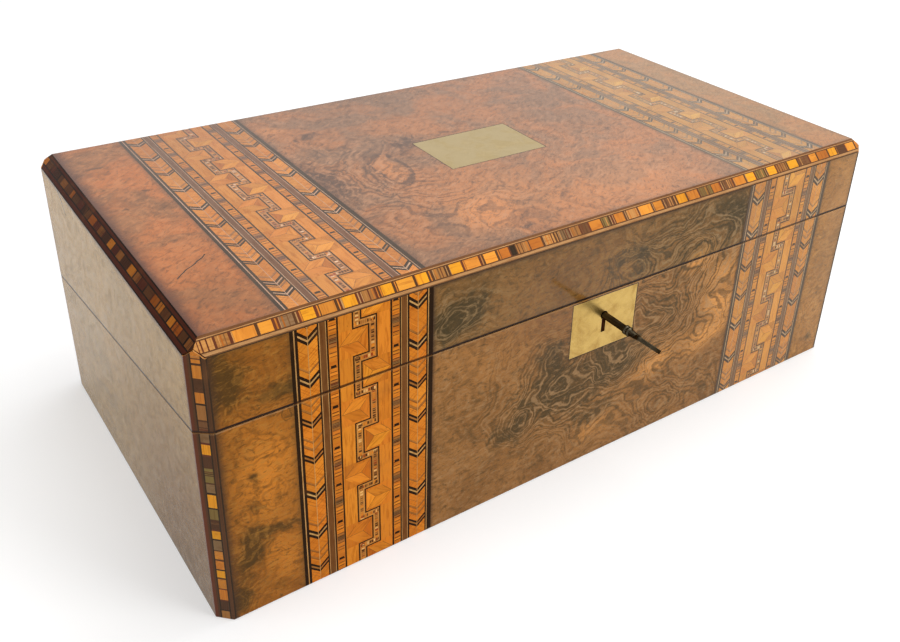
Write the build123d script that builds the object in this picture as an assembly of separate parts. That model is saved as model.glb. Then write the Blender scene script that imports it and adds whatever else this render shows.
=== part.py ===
from build123d import *
from math import atan2, cos, sin, tan
import os

# Writing slope: a walnut-veneered box, drawn closed, in millimetres.
# X runs along the front, Y from the front to the hinges at the back, Z up.
# The origin is the middle of the underside. The joint between base and lid falls from the front
# to half height at the back, so the lid opens flat and carries on the slope of the base.

# Case
case_width = 400.0
case_depth = 211.0
case_height = 141.0
seam_front_height = 100.5
seam_gap = 0.4
wall_board = 11.0
bottom_board = 7.0
top_board = 8.0
veneer = 1.0
veneer_lift = 0.5
edge_bevel = 6.3
corner_chamfer = 5.9

# Parquetry bands and brass inlays
band_width = 65.6
left_band_margin = 39.3
right_band_margin = 31.8
inlay_play = 0.1
cartouche_width = 60.4
cartouche_depth = 39.4
cartouche_x = 1.8
escutcheon_width = 41.5
escutcheon_height = 30.6
escutcheon_top = 99.1

# Butt hinges of the lid
hinge_offset = 0.5
hinge_width = 46.0
hinge_spacing = 250.0
hinge_knuckles = 3
hinge_reach = 10.5
hinge_plate = 1.5
hinge_barrel_radius = 2.4
hinge_pin_radius = 1.0

# Clearances shared by moving fits
pin_play = 0.05
barrel_play = 0.4
knuckle_play = 0.3

# Writing flaps
flap_drop = 2.2
flap_board = 6.0
flap_play = 1.0
flap_joint = 0.8
flap_margin = 16.0
leather = 0.9
rail_width = 13.0
rail_thickness = 8.0
ledge_width = 7.0
ledge_height = 7.0
finger_notch_radius = 9.0

# Small hinges of the flaps
flap_hinge_width = 22.0
flap_hinge_spacing = 250.0
flap_hinge_knuckles = 3
flap_hinge_reach = 9.0
flap_hinge_plate = 0.8
flap_hinge_barrel_radius = 1.3
flap_hinge_pin_radius = 0.6

# Catch on the lid flap
catch_width = 16.0
catch_plate = 1.2
catch_margin = 0.8
catch_nose = 0.6
catch_nose_radius = 1.8

# Ink and pen section at the lock side of the base
ink_depth = 42.0
well_width = 42.0
partition = 5.0
partition_bottom = 40.0
tray_thickness = 15.0
tray_drop = 3.0
tray_trough_width = 32.0
tray_trough_depth = 10.0
tray_trough_margin = 9.0
inkwell_width = 35.0
inkwell_height = 30.0
inkwell_shoulder = 5.0
inkwell_neck_radius = 9.0
inkwell_neck_height = 6.0
inkwell_bore_radius = 7.5
inkwell_base = 5.0
inkwell_headroom = 1.5
cap_wall = 1.8
cap_play = 0.2
cap_crown = 2.5
cap_bevel = 1.5
cap_skirt_gap = 0.3

# Lock: the key's hole, the case, the bolt and the staples that it holds
lock_x = 5.5
key_height = 87.4
lock_setback = 2.0
lock_end_play = 1.7
lock_plate = 1.0
lock_floor_gap = 2.0
selvedge_length = 86.0
selvedge_plate = 1.6
staple_spacing = 40.0
staple_thickness = 2.5
staple_width = 4.0
staple_length = 9.0
staple_eye_depth = 6.0
staple_eye_width = 2.8
staple_eye_height = 3.6
staple_slot_play = 0.6
link_plate = 1.5
bolt_thickness = 2.0
bolt_front_gap = 2.9
bolt_play = 0.15
bolt_travel = 6.0
tongue_height = 2.4
tongue_gap = 1.2
tongue_overrun = 0.4
post_width = 3.6
bar_height = 4.0
guide_radius = 1.2
guide_inset = 4.0
pad_height = 3.0
pad_gap = 5.2

# Key: its turn when the photograph was taken, counted from the way it goes in
key_rest_turn = 50.0
key_radius = 1.8
key_pipe_radius = 1.05
key_outside = 37.0
key_collar_radius = 2.4
key_collar_start = 15.0
key_collar_length = 4.0
key_neck_radius = 1.2
key_bow_length = 12.5
key_bow_width = 18.0
key_bow_end_radius = 4.6
key_bow_ring = 2.3
key_bow_thickness = 1.9
bit_thickness = 1.6
bit_radius = 8.8
bit_step_radius = 5.5
bit_play = 0.3
keyhole_play = 0.5
drill_pin_radius = 1.0

# The sloping joint, described from the hinge axis
wall = wall_board + veneer
hinge_y = case_depth / 2 + hinge_offset
hinge_z = case_height / 2
slope_rise = seam_front_height - hinge_z
slope_angle = atan2(slope_rise, case_depth + hinge_offset)
slope_frame = Plane(
    origin=(0, hinge_y, hinge_z),
    x_dir=(1, 0, 0),
    z_dir=(0, sin(slope_angle), cos(slope_angle)),
).location
inner_x = case_width / 2 - wall
inner_y = case_depth / 2 - wall
far = case_width + case_depth + case_height


def block(x_span, y_span, z_span):
    """Box between two limits along each axis."""
    spans = (x_span, y_span, z_span)
    middle = [(low + high) / 2 for low, high in spans]
    return Pos(*middle) * Box(*[high - low for low, high in spans])


def slope_block(x_span, reach_span, level_span):
    """Box on the slope: reach runs from the hinge axis to the front, level stands square to the slope."""
    y_span = (-reach_span[1], -reach_span[0])
    return slope_frame * block(x_span, y_span, level_span)


def along_x(points, length):
    """Prism along X, centred, from a profile of (y, z) points."""
    return extrude(Plane.YZ * Polygon(*points, align=None), length / 2, both=True)


def rod_x(radius, length):
    """Round rod along X, centred."""
    return Rot(0, 90, 0) * Cylinder(radius, length)


def rod_y(radius, y_span):
    """Round rod along Y."""
    middle = (y_span[0] + y_span[1]) / 2
    return Pos(0, middle, 0) * Rot(90, 0, 0) * Cylinder(radius, y_span[1] - y_span[0])


def slope_height(y, level=0.0):
    """Height over the table of a point at a given depth and level."""
    return hinge_z + (hinge_y - y) * tan(slope_angle) + level / cos(slope_angle)


def reach_at(y, level=0.0):
    """Reach of a point at a given depth and level."""
    return (hinge_y - y + level * sin(slope_angle)) / cos(slope_angle)


def for_lid(shape):
    """Mirror a piece of the base over the joint, to its place in the lid."""
    return slope_frame * mirror(slope_frame.inverse() * shape, about=Plane.XY)


def pair(shape, spacing):
    """Two copies, left and right."""
    return [Pos(side * spacing / 2, 0, 0) * shape for side in (-1, 1)]


def save(node, *shapes):
    """Write one node, as a group where it has several separate solids."""
    solids = [solid for shape in shapes for solid in shape.solids()]
    export_step(solids[0] if len(solids) == 1 else Compound(children=solids), f"parts/{node}.step")


# Forms that the pieces are cut from
def case_form(inset):
    """Closed case, drawn in from its outer faces, with bevelled top edges and chamfered corners."""
    width = case_width - 2 * inset
    depth = case_depth - 2 * inset
    solid = block((-width / 2, width / 2), (-depth / 2, depth / 2), (0, case_height - inset))
    solid = chamfer(solid.edges().group_by(Axis.Z)[-1], edge_bevel - inset)
    return solid & case_plan(inset, corner_chamfer - inset)


def case_plan(inset, cut):
    """Upright prism over the case's plan with its four corners cut off."""
    plan = Rectangle(case_width - 2 * inset, case_depth - 2 * inset)
    return extrude(chamfer(plan.vertices(), cut), case_height)


outer_form = case_form(0)
carcass_form = case_form(veneer)
panel_plan = case_plan(0, corner_chamfer + veneer)
below_seam = slope_block((-far, far), (-far, far), (-far, -seam_gap / 2))
above_seam = slope_block((-far, far), (-far, far), (seam_gap / 2, far))
cavity = block((-inner_x, inner_x), (-inner_y, inner_y), (0, case_height))


# Butt hinges, drawn at the axis with the plate below the joint and reaching to the front
def hinge_leaf(width, knuckles, first, reach, top, plate, barrel_radius, pin_radius):
    """Leaf with every second knuckle, starting at the first or the second one."""
    pitch = width / knuckles
    leaf = block((-width / 2, width / 2), (-reach, 0), (top - plate, top))
    for index in range(knuckles):
        x = (index - (knuckles - 1) / 2) * pitch
        if index % 2 == first:
            leaf += Pos(x, 0, 0) * rod_x(barrel_radius, pitch - knuckle_play)
        else:
            x_span = (x - (pitch + knuckle_play) / 2, x + (pitch + knuckle_play) / 2)
            leaf -= block(x_span, (-barrel_radius - barrel_play, 0), (top - plate, top))
    return leaf - rod_x(pin_radius + pin_play, width + pitch)


def hinge_bed(width, reach, top, plate, barrel_radius):
    """What the leaf and the barrel take out of the wood."""
    bed = block((-width / 2, width / 2), (-reach, 0), (top - plate, top))
    depth = barrel_radius + barrel_play
    return bed + block((-width / 2, width / 2), (-depth, depth), (-depth, top))


lid_hinge = dict(width=hinge_width, reach=hinge_reach, top=-seam_gap / 2, plate=hinge_plate)
lid_hinge_barrel = dict(barrel_radius=hinge_barrel_radius)


def lid_hinge_leaves(first):
    """Both butt hinge leaves of the base."""
    leaf = hinge_leaf(
        **lid_hinge, **lid_hinge_barrel, knuckles=hinge_knuckles, first=first, pin_radius=hinge_pin_radius
    )
    return [slope_frame * copy for copy in pair(leaf, hinge_spacing)]


hinge_beds = [
    slope_frame * bed for bed in pair(hinge_bed(**lid_hinge, **lid_hinge_barrel), hinge_spacing)
]
hinge_pins = [
    slope_frame * pin for pin in pair(rod_x(hinge_pin_radius, hinge_width), hinge_spacing)
]


# Lock, let into the inside of the front board with its selvedge flush with the sloping rim
front_face = -case_depth / 2
turn_back = key_rest_turn / 360 * bolt_travel
turn_on = bolt_travel - turn_back
post_ahead = staple_thickness / 2 + tongue_overrun + turn_on
right_end = staple_spacing / 2 + post_ahead + post_width
lock_length = 2 * (right_end + turn_back + lock_end_play + lock_plate)
bar_reach = right_end + turn_back - turn_on
lock_front = front_face + veneer + lock_setback
lock_back = front_face + wall
bolt_front = lock_front + bolt_front_gap
bolt_middle = bolt_front + bolt_thickness / 2
bolt_back = bolt_front + bolt_thickness
lock_bottom = key_height - bit_radius - lock_floor_gap - lock_plate
selvedge_under = -seam_gap / 2 - selvedge_plate
staple_bottom = -seam_gap / 2 - staple_length
eye_level = -seam_gap / 2 - staple_eye_depth
staple_reach = reach_at(bolt_middle, eye_level)
staple_places = [lock_x + side * staple_spacing / 2 for side in (-1, 1)]
under_selvedge = slope_block((-far, far), (-far, far), (-far, selvedge_under))
selvedge_level = slope_block((-far, far), (-far, far), (selvedge_under, -seam_gap / 2))
link_level = slope_block((-far, far), (-far, far), (seam_gap / 2, seam_gap / 2 + link_plate))


def lock_span(length):
    """Limits along X of a piece centred on the lock."""
    return (lock_x - length / 2, lock_x + length / 2)


def keyhole(radius, slot, drop, y_span):
    """Round hole with a slot below it, along Y."""
    middle = Pos(lock_x, 0, key_height)
    slot_cut = block((-slot / 2, slot / 2), y_span, (-drop, 0))
    return middle * (rod_y(radius, y_span) + slot_cut)


key_clear = dict(
    radius=key_radius + keyhole_play,
    slot=bit_thickness + 2 * keyhole_play,
    drop=bit_radius + 2 * keyhole_play,
)
lock_body = block(lock_span(lock_length), (lock_front, lock_back), (lock_bottom, case_height))
selvedge = block(lock_span(selvedge_length), (lock_front, lock_back), (0, case_height)) & selvedge_level
bolt_low = slope_height(bolt_middle, staple_bottom) - bar_height - bolt_play - staple_slot_play
bolt_high = bolt_low + bar_height


def lock_case():
    """Front plate, edges and selvedge, open to the back, with the guides that the bolt runs on."""
    shell = lock_body & under_selvedge & block((-far, far), (-far, lock_back - lock_plate), (0, far))
    room = block(
        lock_span(lock_length - 2 * lock_plate),
        (lock_front + lock_plate, lock_back),
        (lock_bottom + lock_plate, case_height),
    )
    case = (shell - room) + selvedge
    for side in (-1, 1):
        guide = rod_y(guide_radius, (lock_front, lock_back - lock_plate))
        guide_x = lock_x + side * (bar_reach - guide_inset)
        case += Pos(guide_x, 0, bolt_low - bolt_play - guide_radius) * guide
        case += lock_pad(side, (lock_front, bolt_front - bolt_play))
    for x in staple_places:
        case -= slope_block(
            (x - staple_thickness / 2 - staple_slot_play, x + staple_thickness / 2 + staple_slot_play),
            (
                staple_reach - staple_width / 2 - staple_slot_play,
                staple_reach + staple_width / 2 + staple_slot_play,
            ),
            (selvedge_under - selvedge_plate, seam_gap),
        )
    case -= keyhole(**key_clear, y_span=(lock_front - lock_plate, lock_front + lock_plate))
    return case


def lock_pad(side, y_span):
    """Pad that keeps the bolt's bar in its plane, behind or before it."""
    x_span = sorted((lock_x + side * (bit_radius + pad_gap), lock_x + side * bar_reach))
    return block(x_span, y_span, (bolt_low, bolt_low + pad_height))


def lock_cap():
    """Cap plate with its two pads and the drill pin that the key's pipe turns on."""
    cap = lock_body & under_selvedge & block((-far, far), (lock_back - lock_plate, lock_back), (0, far))
    for side in (-1, 1):
        cap += lock_pad(side, (bolt_back + bolt_play, lock_back - lock_plate))
    pin = rod_y(drill_pin_radius, (lock_front - lock_plate, lock_back - lock_plate))
    return cap + Pos(lock_x, 0, key_height) * pin


# The bolt moves left. At rest its tongues stand just short of the staples.
arch_low = key_height + bit_step_radius + bit_play
arch_high = slope_height(bolt_back, selvedge_under) - bolt_play
tongue_middle = slope_height(bolt_middle, eye_level)


def lock_bolt():
    """Bar under the staples, arched over the key's stepped bit, with a tongue for each staple."""
    y_span = (bolt_front, bolt_back)
    tip_ahead = staple_thickness / 2 + tongue_gap
    left_post = staple_places[0] + post_ahead
    right_post = staple_places[1] + post_ahead
    arch_left = lock_x - bit_step_radius - turn_back - bit_play
    arch_right = lock_x + bit_step_radius + turn_on + bit_play
    tongue_span = (tongue_middle - tongue_height / 2, tongue_middle + tongue_height / 2)
    bolt = block((lock_x - bar_reach, arch_left), y_span, (bolt_low, bolt_high))
    bolt += block((left_post, arch_left), y_span, (bolt_low, arch_high))
    bolt += block((left_post, arch_right + post_width), y_span, (arch_low, arch_high))
    bolt += block((arch_right, arch_right + post_width), y_span, (bolt_low, arch_high))
    bolt += block((arch_right, lock_x + right_end), y_span, (bolt_low, bolt_high))
    bolt += block((right_post, lock_x + right_end), y_span, (bolt_low, tongue_span[1]))
    bolt += block((staple_places[0] + tip_ahead, left_post), y_span, tongue_span)
    bolt += block((staple_places[1] + tip_ahead, right_post), y_span, tongue_span)
    return bolt


def staples_and_plate():
    """Link plate in the lid's rim, with two pierced staples that drop into the lock."""
    plate = block(lock_span(selvedge_length), (lock_front, lock_back), (0, case_height)) & link_level
    half_width = staple_width / 2
    for x in staple_places:
        x_span = (x - staple_thickness / 2, x + staple_thickness / 2)
        reach_span = (staple_reach - half_width, staple_reach + half_width)
        plate += slope_block(x_span, reach_span, (staple_bottom, seam_gap / 2 + link_plate))
    eye = slope_block(
        lock_span(lock_length),
        (staple_reach - staple_eye_width / 2, staple_reach + staple_eye_width / 2),
        (eye_level - staple_eye_height / 2, eye_level + staple_eye_height / 2),
    )
    return plate - eye


# Key, drawn on the Y axis with its bit down, then turned to where it was left
def bow_outline(inset):
    """Oval of four arcs, longer across the key than along it."""
    across = key_bow_width / 2 - inset
    along = key_bow_length / 2 - inset
    end_radius = key_bow_end_radius - inset
    side_radius = ((across - end_radius) ** 2 + along**2 - end_radius**2) / (2 * (along - end_radius))
    turn = atan2(across - end_radius, side_radius - along)
    meet_x = side_radius * sin(turn)
    meet_y = along - side_radius * (1 - cos(turn))
    quarter = [
        ThreePointArc((-meet_x, meet_y), (0, along), (meet_x, meet_y)),
        ThreePointArc((meet_x, meet_y), (across, 0), (meet_x, -meet_y)),
        ThreePointArc((meet_x, -meet_y), (0, -along), (-meet_x, -meet_y)),
        ThreePointArc((-meet_x, -meet_y), (-across, 0), (-meet_x, meet_y)),
    ]
    return make_face(quarter)


def key():
    """Pipe key with a stepped bit, a moulded collar, a tapering neck and an oval bow."""
    tip = bolt_back - bit_play
    bow_end = front_face - key_outside
    bow_middle = bow_end + key_bow_length / 2
    neck_end = bow_end + key_bow_length - key_bow_ring / 2
    shank = rod_y(key_radius, (front_face - key_collar_start, tip))
    bead = key_collar_length / 2
    swell = key_collar_radius - key_radius
    for index in (0, 1):
        bead_start = front_face - key_collar_start - index * bead
        ring = rod_y(key_collar_radius, (bead_start - bead, bead_start))
        shank += chamfer(ring.edges().filter_by(GeomType.CIRCLE), swell)
    neck_start = front_face - key_collar_start - key_collar_length
    neck_middle = (neck_start + neck_end) / 2
    neck_length = neck_start - neck_end
    shank += Pos(0, neck_middle, 0) * Rot(90, 0, 0) * Cone(key_radius, key_neck_radius, neck_length)
    bow = extrude(bow_outline(0) - bow_outline(key_bow_ring), key_bow_thickness / 2, both=True)
    blank = shank + Pos(0, bow_middle, 0) * Rot(0, 90, 0) * bow
    half_bit = bit_thickness / 2
    bit_front = lock_front + lock_plate + bit_play
    blank += block((-half_bit, half_bit), (bit_front, bolt_front - bolt_play), (-bit_radius, 0))
    blank += block((-half_bit, half_bit), (bit_front, tip), (-bit_step_radius, 0))
    blank -= rod_y(key_pipe_radius, (lock_front - 2 * lock_plate, tip + bit_thickness))
    return Pos(lock_x, 0, key_height) * Rot(0, -key_rest_turn, 0) * blank


# Writing flaps, drawn for the base and mirrored for the lid
flap_axis_reach = reach_at(inner_y) + rail_width
flap_start = flap_axis_reach + flap_joint / 2
flap_half_width = inner_x - flap_play
flap_under = -flap_drop - flap_board
ink_back = front_face + wall + ink_depth
storage_front = ink_back + partition
base_flap_end = reach_at(storage_front, flap_under) - flap_play
lid_flap_end = reach_at(-inner_y, flap_drop) - flap_play
flap_hinge = dict(width=flap_hinge_width, reach=flap_hinge_reach, top=0, plate=flap_hinge_plate)
flap_hinge_barrel = dict(barrel_radius=flap_hinge_barrel_radius)
flap_hinge_place = Pos(0, -flap_axis_reach, -flap_drop)


def flap_leaves(first, turn):
    """The two small leaves on one side of a flap's hinge line."""
    leaf = hinge_leaf(
        **flap_hinge,
        **flap_hinge_barrel,
        knuckles=flap_hinge_knuckles,
        first=first,
        pin_radius=flap_hinge_pin_radius,
    )
    return [
        slope_frame * copy for copy in pair(flap_hinge_place * Rot(0, 0, turn) * leaf, flap_hinge_spacing)
    ]


def flap_beds(turn):
    """What those leaves take out of the flap or the rail."""
    bed = hinge_bed(**flap_hinge, **flap_hinge_barrel)
    return [
        slope_frame * copy for copy in pair(flap_hinge_place * Rot(0, 0, turn) * bed, flap_hinge_spacing)
    ]


def flap_pins():
    """The pins of both small hinges."""
    pin = rod_x(flap_hinge_pin_radius, flap_hinge_width)
    return [slope_frame * copy for copy in pair(flap_hinge_place * pin, flap_hinge_spacing)]


def flap_panel(end):
    """Flap board, cut away for its hinge leaves."""
    panel = slope_block((-flap_half_width, flap_half_width), (flap_start, end), (flap_under, -flap_drop))
    for bed in flap_beds(0):
        panel -= bed
    return panel


def flap_leather(end):
    """Leather laid on the flap inside a wooden margin."""
    half = flap_half_width - flap_margin
    return slope_block(
        (-half, half), (flap_start + flap_margin, end - flap_margin), (-flap_drop, leather - flap_drop)
    )


def catch_form():
    """Ball catch in the middle of the lid flap's free edge: a plate with a domed nose."""
    middle = (flap_under - flap_drop) / 2
    half_height = flap_board / 2 - catch_margin
    plate = slope_block(
        (-catch_width / 2, catch_width / 2),
        (lid_flap_end - catch_plate, lid_flap_end),
        (middle - half_height, middle + half_height),
    )
    radius = (catch_nose_radius**2 + catch_nose**2) / (2 * catch_nose)
    nose = slope_frame * Pos(0, radius - catch_nose - lid_flap_end, middle) * Sphere(radius)
    ahead = slope_block((-far, far), (lid_flap_end, lid_flap_end + catch_plate), (-far, far))
    return plate, plate + (nose & ahead)


def hinge_rail():
    """Fixed strip along the back that the flap is hinged to."""
    rail = slope_block(
        (-inner_x, inner_x), (0, flap_start - flap_joint), (-flap_drop - rail_thickness, -flap_drop)
    )
    for bed in flap_beds(180):
        rail -= bed
    return rail


def ledges(front_reach):
    """Fillets under both ends and the front edge of a flap, running on past the front."""
    level_span = (flap_under - ledge_height, flap_under)
    back_reach = flap_start - flap_joint
    past_front = front_reach + ledge_width
    between = (ledge_width - inner_x, inner_x - ledge_width)
    return [
        slope_block((-inner_x, between[0]), (back_reach, past_front), level_span),
        slope_block((between[1], inner_x), (back_reach, past_front), level_span),
        slope_block(between, (front_reach - ledge_width, past_front), level_span),
    ]


# Ink and pen section
ink_front = front_face + wall
section_top = slope_height(ink_back)
cap_top = section_top - inkwell_headroom
well_floor = cap_top - inkwell_height - inkwell_shoulder - inkwell_neck_height - cap_crown
well_middle_x = inner_x - well_width / 2
well_middle_y = ink_front + ink_depth / 2
tray_half_length = inner_x - well_width - partition


def pen_tray():
    """Tray with a round-bottomed trough."""
    top = section_top - tray_drop
    tray = block((-tray_half_length, tray_half_length), (ink_front, ink_back), (top - tray_thickness, top))
    half_width = tray_trough_width / 2
    radius = (half_width**2 + tray_trough_depth**2) / (2 * tray_trough_depth)
    trough = rod_x(radius, 2 * (tray_half_length - tray_trough_margin))
    return tray - Pos(0, well_middle_y, top + radius - tray_trough_depth) * trough


def inkwell():
    """Square glass bottle with sloping shoulders, a round neck and a round bore."""
    bottom = (Align.CENTER, Align.CENTER, Align.MIN)
    body = Box(inkwell_width, inkwell_width, inkwell_height + inkwell_shoulder, align=bottom)
    body = chamfer(body.edges().group_by(Axis.Z)[-1], inkwell_shoulder)
    neck_top = inkwell_height + inkwell_shoulder + inkwell_neck_height
    body += Cylinder(inkwell_neck_radius, neck_top, align=bottom)
    return body - Pos(0, 0, inkwell_base) * Cylinder(inkwell_bore_radius, neck_top, align=bottom)


def inkwell_cap():
    """Turned brass cap over the neck, with a domed crown."""
    bottom = (Align.CENTER, Align.CENTER, Align.MIN)
    neck_top = inkwell_height + inkwell_shoulder + inkwell_neck_height
    radius = inkwell_neck_radius + cap_play + cap_wall
    cap = Cylinder(radius, inkwell_neck_height - cap_skirt_gap + cap_crown, align=bottom)
    cap = chamfer(cap.edges().group_by(Axis.Z)[-1], cap_bevel)
    cap = Pos(0, 0, neck_top - inkwell_neck_height + cap_skirt_gap) * cap
    return cap - Cylinder(inkwell_neck_radius + cap_play, neck_top, align=bottom)


def inkwell_places():
    """Both wells, on their floors."""
    return [Pos(side * well_middle_x, well_middle_y, well_floor) for side in (-1, 1)]


# Carcass boards of the base
def wall_boards(z_span, seam_side):
    """Front, back, left and right boards of one half of the case."""
    x_span = (-case_width / 2, case_width / 2)
    front = block(x_span, (-case_depth / 2, -inner_y), z_span) & carcass_form & seam_side
    back = block(x_span, (inner_y, case_depth / 2), z_span) & carcass_form & seam_side
    left = block((-case_width / 2, -inner_x), (-inner_y, inner_y), z_span) & carcass_form & seam_side
    right = block((inner_x, case_width / 2), (-inner_y, inner_y), z_span) & carcass_form & seam_side
    return front, back, left, right


base_front, base_back, base_left, base_right = wall_boards((0, case_height), below_seam)
base_bottom = block((-inner_x, inner_x), (-inner_y, inner_y), (0, bottom_board))
base_front -= (lock_body + selvedge) & below_seam
base_front -= keyhole(**key_clear, y_span=(front_face, lock_front))
for bed in hinge_beds:
    base_back -= bed

# Carcass boards of the lid
under_top = case_height - veneer - top_board
lid_front, lid_back, lid_left, lid_right = wall_boards((0, under_top), above_seam)
lid_top = carcass_form & block((-far, far), (-far, far), (under_top, case_height))
lid_front -= block(lock_span(selvedge_length), (lock_front, lock_back), (0, case_height)) & link_level
for bed in hinge_beds:
    lid_back -= for_lid(bed)


# Veneers, bands and bandings
def band_spans():
    """Limits along X of the left and the right parquetry band."""
    left = left_band_margin - case_width / 2
    right = case_width / 2 - right_band_margin
    return [(left, left + band_width), (right - band_width, right)]


def panel_spans(half_width):
    """Limits along X of the three plain panels beside and between the bands."""
    left_band, right_band = band_spans()
    return [(-half_width, left_band[0]), (left_band[1], right_band[0]), (right_band[1], half_width)]


def front_skin(x_span):
    """Piece of the front's veneer, over base and lid."""
    y_span = (front_face, front_face + veneer)
    return block(x_span, y_span, (veneer_lift, case_height - edge_bevel)) & panel_plan


def top_skin(x_span):
    """Piece of the top's veneer, between the bevels."""
    half_depth = case_depth / 2 - edge_bevel
    return block(x_span, (-half_depth, half_depth), (case_height - veneer, case_height))


def end_skin(side):
    """Veneer of the left or the right end."""
    outer = side * case_width / 2
    x_span = sorted((outer, outer - side * veneer))
    return block(x_span, (-far, far), (veneer_lift, case_height - edge_bevel)) & panel_plan


def bevel_band(length, half_span):
    """Strip on one top bevel, mitred at both ends, drawn for the side that faces the front."""
    low = case_height - edge_bevel
    strip = along_x(
        [
            (-half_span, low),
            (edge_bevel - half_span, case_height),
            (edge_bevel - half_span, case_height - veneer),
            (veneer - half_span, low),
        ],
        length,
    )
    half = length / 2
    mitre = Polygon(
        (-half, -half_span),
        (half, -half_span),
        (half - edge_bevel, edge_bevel - half_span),
        (edge_bevel - half, edge_bevel - half_span),
        align=None,
    )
    return strip & extrude(mitre, case_height)


half_top = case_width / 2 - edge_bevel
half_front = case_width / 2
escutcheon_z = (escutcheon_top - escutcheon_height, escutcheon_top)
escutcheon_bed = block(
    lock_span(escutcheon_width + 2 * inlay_play),
    (front_face, front_face + veneer),
    (escutcheon_z[0] - inlay_play, escutcheon_z[1] + inlay_play),
)
cartouche_bed = block(
    (
        cartouche_x - cartouche_width / 2 - inlay_play,
        cartouche_x + cartouche_width / 2 + inlay_play,
    ),
    (-cartouche_depth / 2 - inlay_play, cartouche_depth / 2 + inlay_play),
    (case_height - veneer, case_height),
)
front_panels = [front_skin(span) for span in panel_spans(half_front)]
front_bands = [front_skin(span) for span in band_spans()]
top_panels = [top_skin(span) - cartouche_bed for span in panel_spans(half_top)]
end_panels = [end_skin(side) for side in (-1, 1)]
back_panel = Rot(0, 0, 180) * front_skin((-half_front, half_front))
corner_strips = (outer_form - panel_plan) & block((-far, far), (-far, far), (veneer_lift, case_height))
edge_strips = [
    bevel_band(case_width, case_depth / 2),
    Rot(0, 0, 180) * bevel_band(case_width, case_depth / 2),
    Rot(0, 0, -90) * bevel_band(case_depth, case_width / 2),
    Rot(0, 0, 90) * bevel_band(case_depth, case_width / 2),
]


def below(shape):
    """Part of a veneer that belongs to the base."""
    return shape & below_seam


def above(shape):
    """Part of a veneer that belongs to the lid."""
    return shape & above_seam


for bed in hinge_beds:
    back_panel -= bed
    back_panel -= for_lid(bed)

os.makedirs("parts", exist_ok=True)

# Base
save("base_bottom_board", base_bottom)
save("base_front_board", base_front)
save("base_back_board", base_back)
save("base_left_board", base_left)
save("base_right_board", base_right)
save("base_front_veneer", *[below(panel) - escutcheon_bed for panel in front_panels])
save("base_end_veneers", *[below(panel) for panel in end_panels])
save("base_back_veneer", below(back_panel))
save("base_left_band", below(front_bands[0]))
save("base_right_band", below(front_bands[1]))
save("base_corner_bands", below(corner_strips))
escutcheon = block(lock_span(escutcheon_width), (front_face, front_face + veneer), escutcheon_z)
save("escutcheon", escutcheon - keyhole(**key_clear, y_span=(front_face - veneer, front_face + veneer)))

# Lock and key
save("lock_case", lock_case())
save("lock_cap_plate", lock_cap())
save("lock_bolt", lock_bolt())
save("key", key())

# Lid hinges
save("base_hinge_leaves", *lid_hinge_leaves(0))
save("lid_hinge_leaves", *[for_lid(leaf) for leaf in lid_hinge_leaves(1)])
save("hinge_pins", *hinge_pins)

# Inside the base
finger_notch = slope_frame * Pos(0, -base_flap_end, 0) * Cylinder(finger_notch_radius, far)
save("base_hinge_rail", hinge_rail() & cavity)
storage = block((-inner_x, inner_x), (storage_front, inner_y), (0, case_height))
base_ledge_reach = reach_at(storage_front, flap_under - ledge_height)
save("base_ledges", *[ledge & storage for ledge in ledges(base_ledge_reach)])
save("base_flap_board", flap_panel(base_flap_end) - finger_notch)
save("base_flap_leather", flap_leather(base_flap_end))
save("base_flap_fixed_leaves", *flap_leaves(1, 180))
save("base_flap_moving_leaves", *flap_leaves(0, 0))
save("base_flap_pins", *flap_pins())
partition_z = (partition_bottom, case_height)
partitions = [
    block((-inner_x, inner_x), (ink_back, storage_front), partition_z),
    block((-tray_half_length - partition, -tray_half_length), (ink_front, ink_back), partition_z),
    block((tray_half_length, tray_half_length + partition), (ink_front, ink_back), partition_z),
]
save("ink_partitions", *[board & below_seam for board in partitions])
save(
    "well_floors",
    *[
        block(x_span, (ink_front, ink_back), (well_floor - partition, well_floor))
        for x_span in ((-inner_x, well_width - inner_x), (inner_x - well_width, inner_x))
    ],
)
save("pen_tray", pen_tray())
save("inkwells", *[place * inkwell() for place in inkwell_places()])
save("inkwell_caps", *[place * inkwell_cap() for place in inkwell_places()])

# Lid
save("lid_top_board", lid_top)
save("lid_front_board", lid_front)
save("lid_back_board", lid_back)
save("lid_left_board", lid_left)
save("lid_right_board", lid_right)
save("lid_top_veneer", *top_panels)
save("lid_front_veneer", *[above(panel) for panel in front_panels])
save("lid_end_veneers", *[above(panel) for panel in end_panels])
save("lid_back_veneer", above(back_panel))
left_span, right_span = band_spans()
save("lid_top_left_band", top_skin(left_span))
save("lid_top_right_band", top_skin(right_span))
save("lid_front_left_band", above(front_bands[0]))
save("lid_front_right_band", above(front_bands[1]))
save("lid_edge_bands", *[strip & panel_plan for strip in edge_strips])
save("lid_corner_bands", above(corner_strips))
cartouche_half = cartouche_width / 2
save(
    "cartouche",
    block(
        (cartouche_x - cartouche_half, cartouche_x + cartouche_half),
        (-cartouche_depth / 2, cartouche_depth / 2),
        (case_height - veneer, case_height),
    ),
)
save("link_plate", staples_and_plate())

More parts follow.
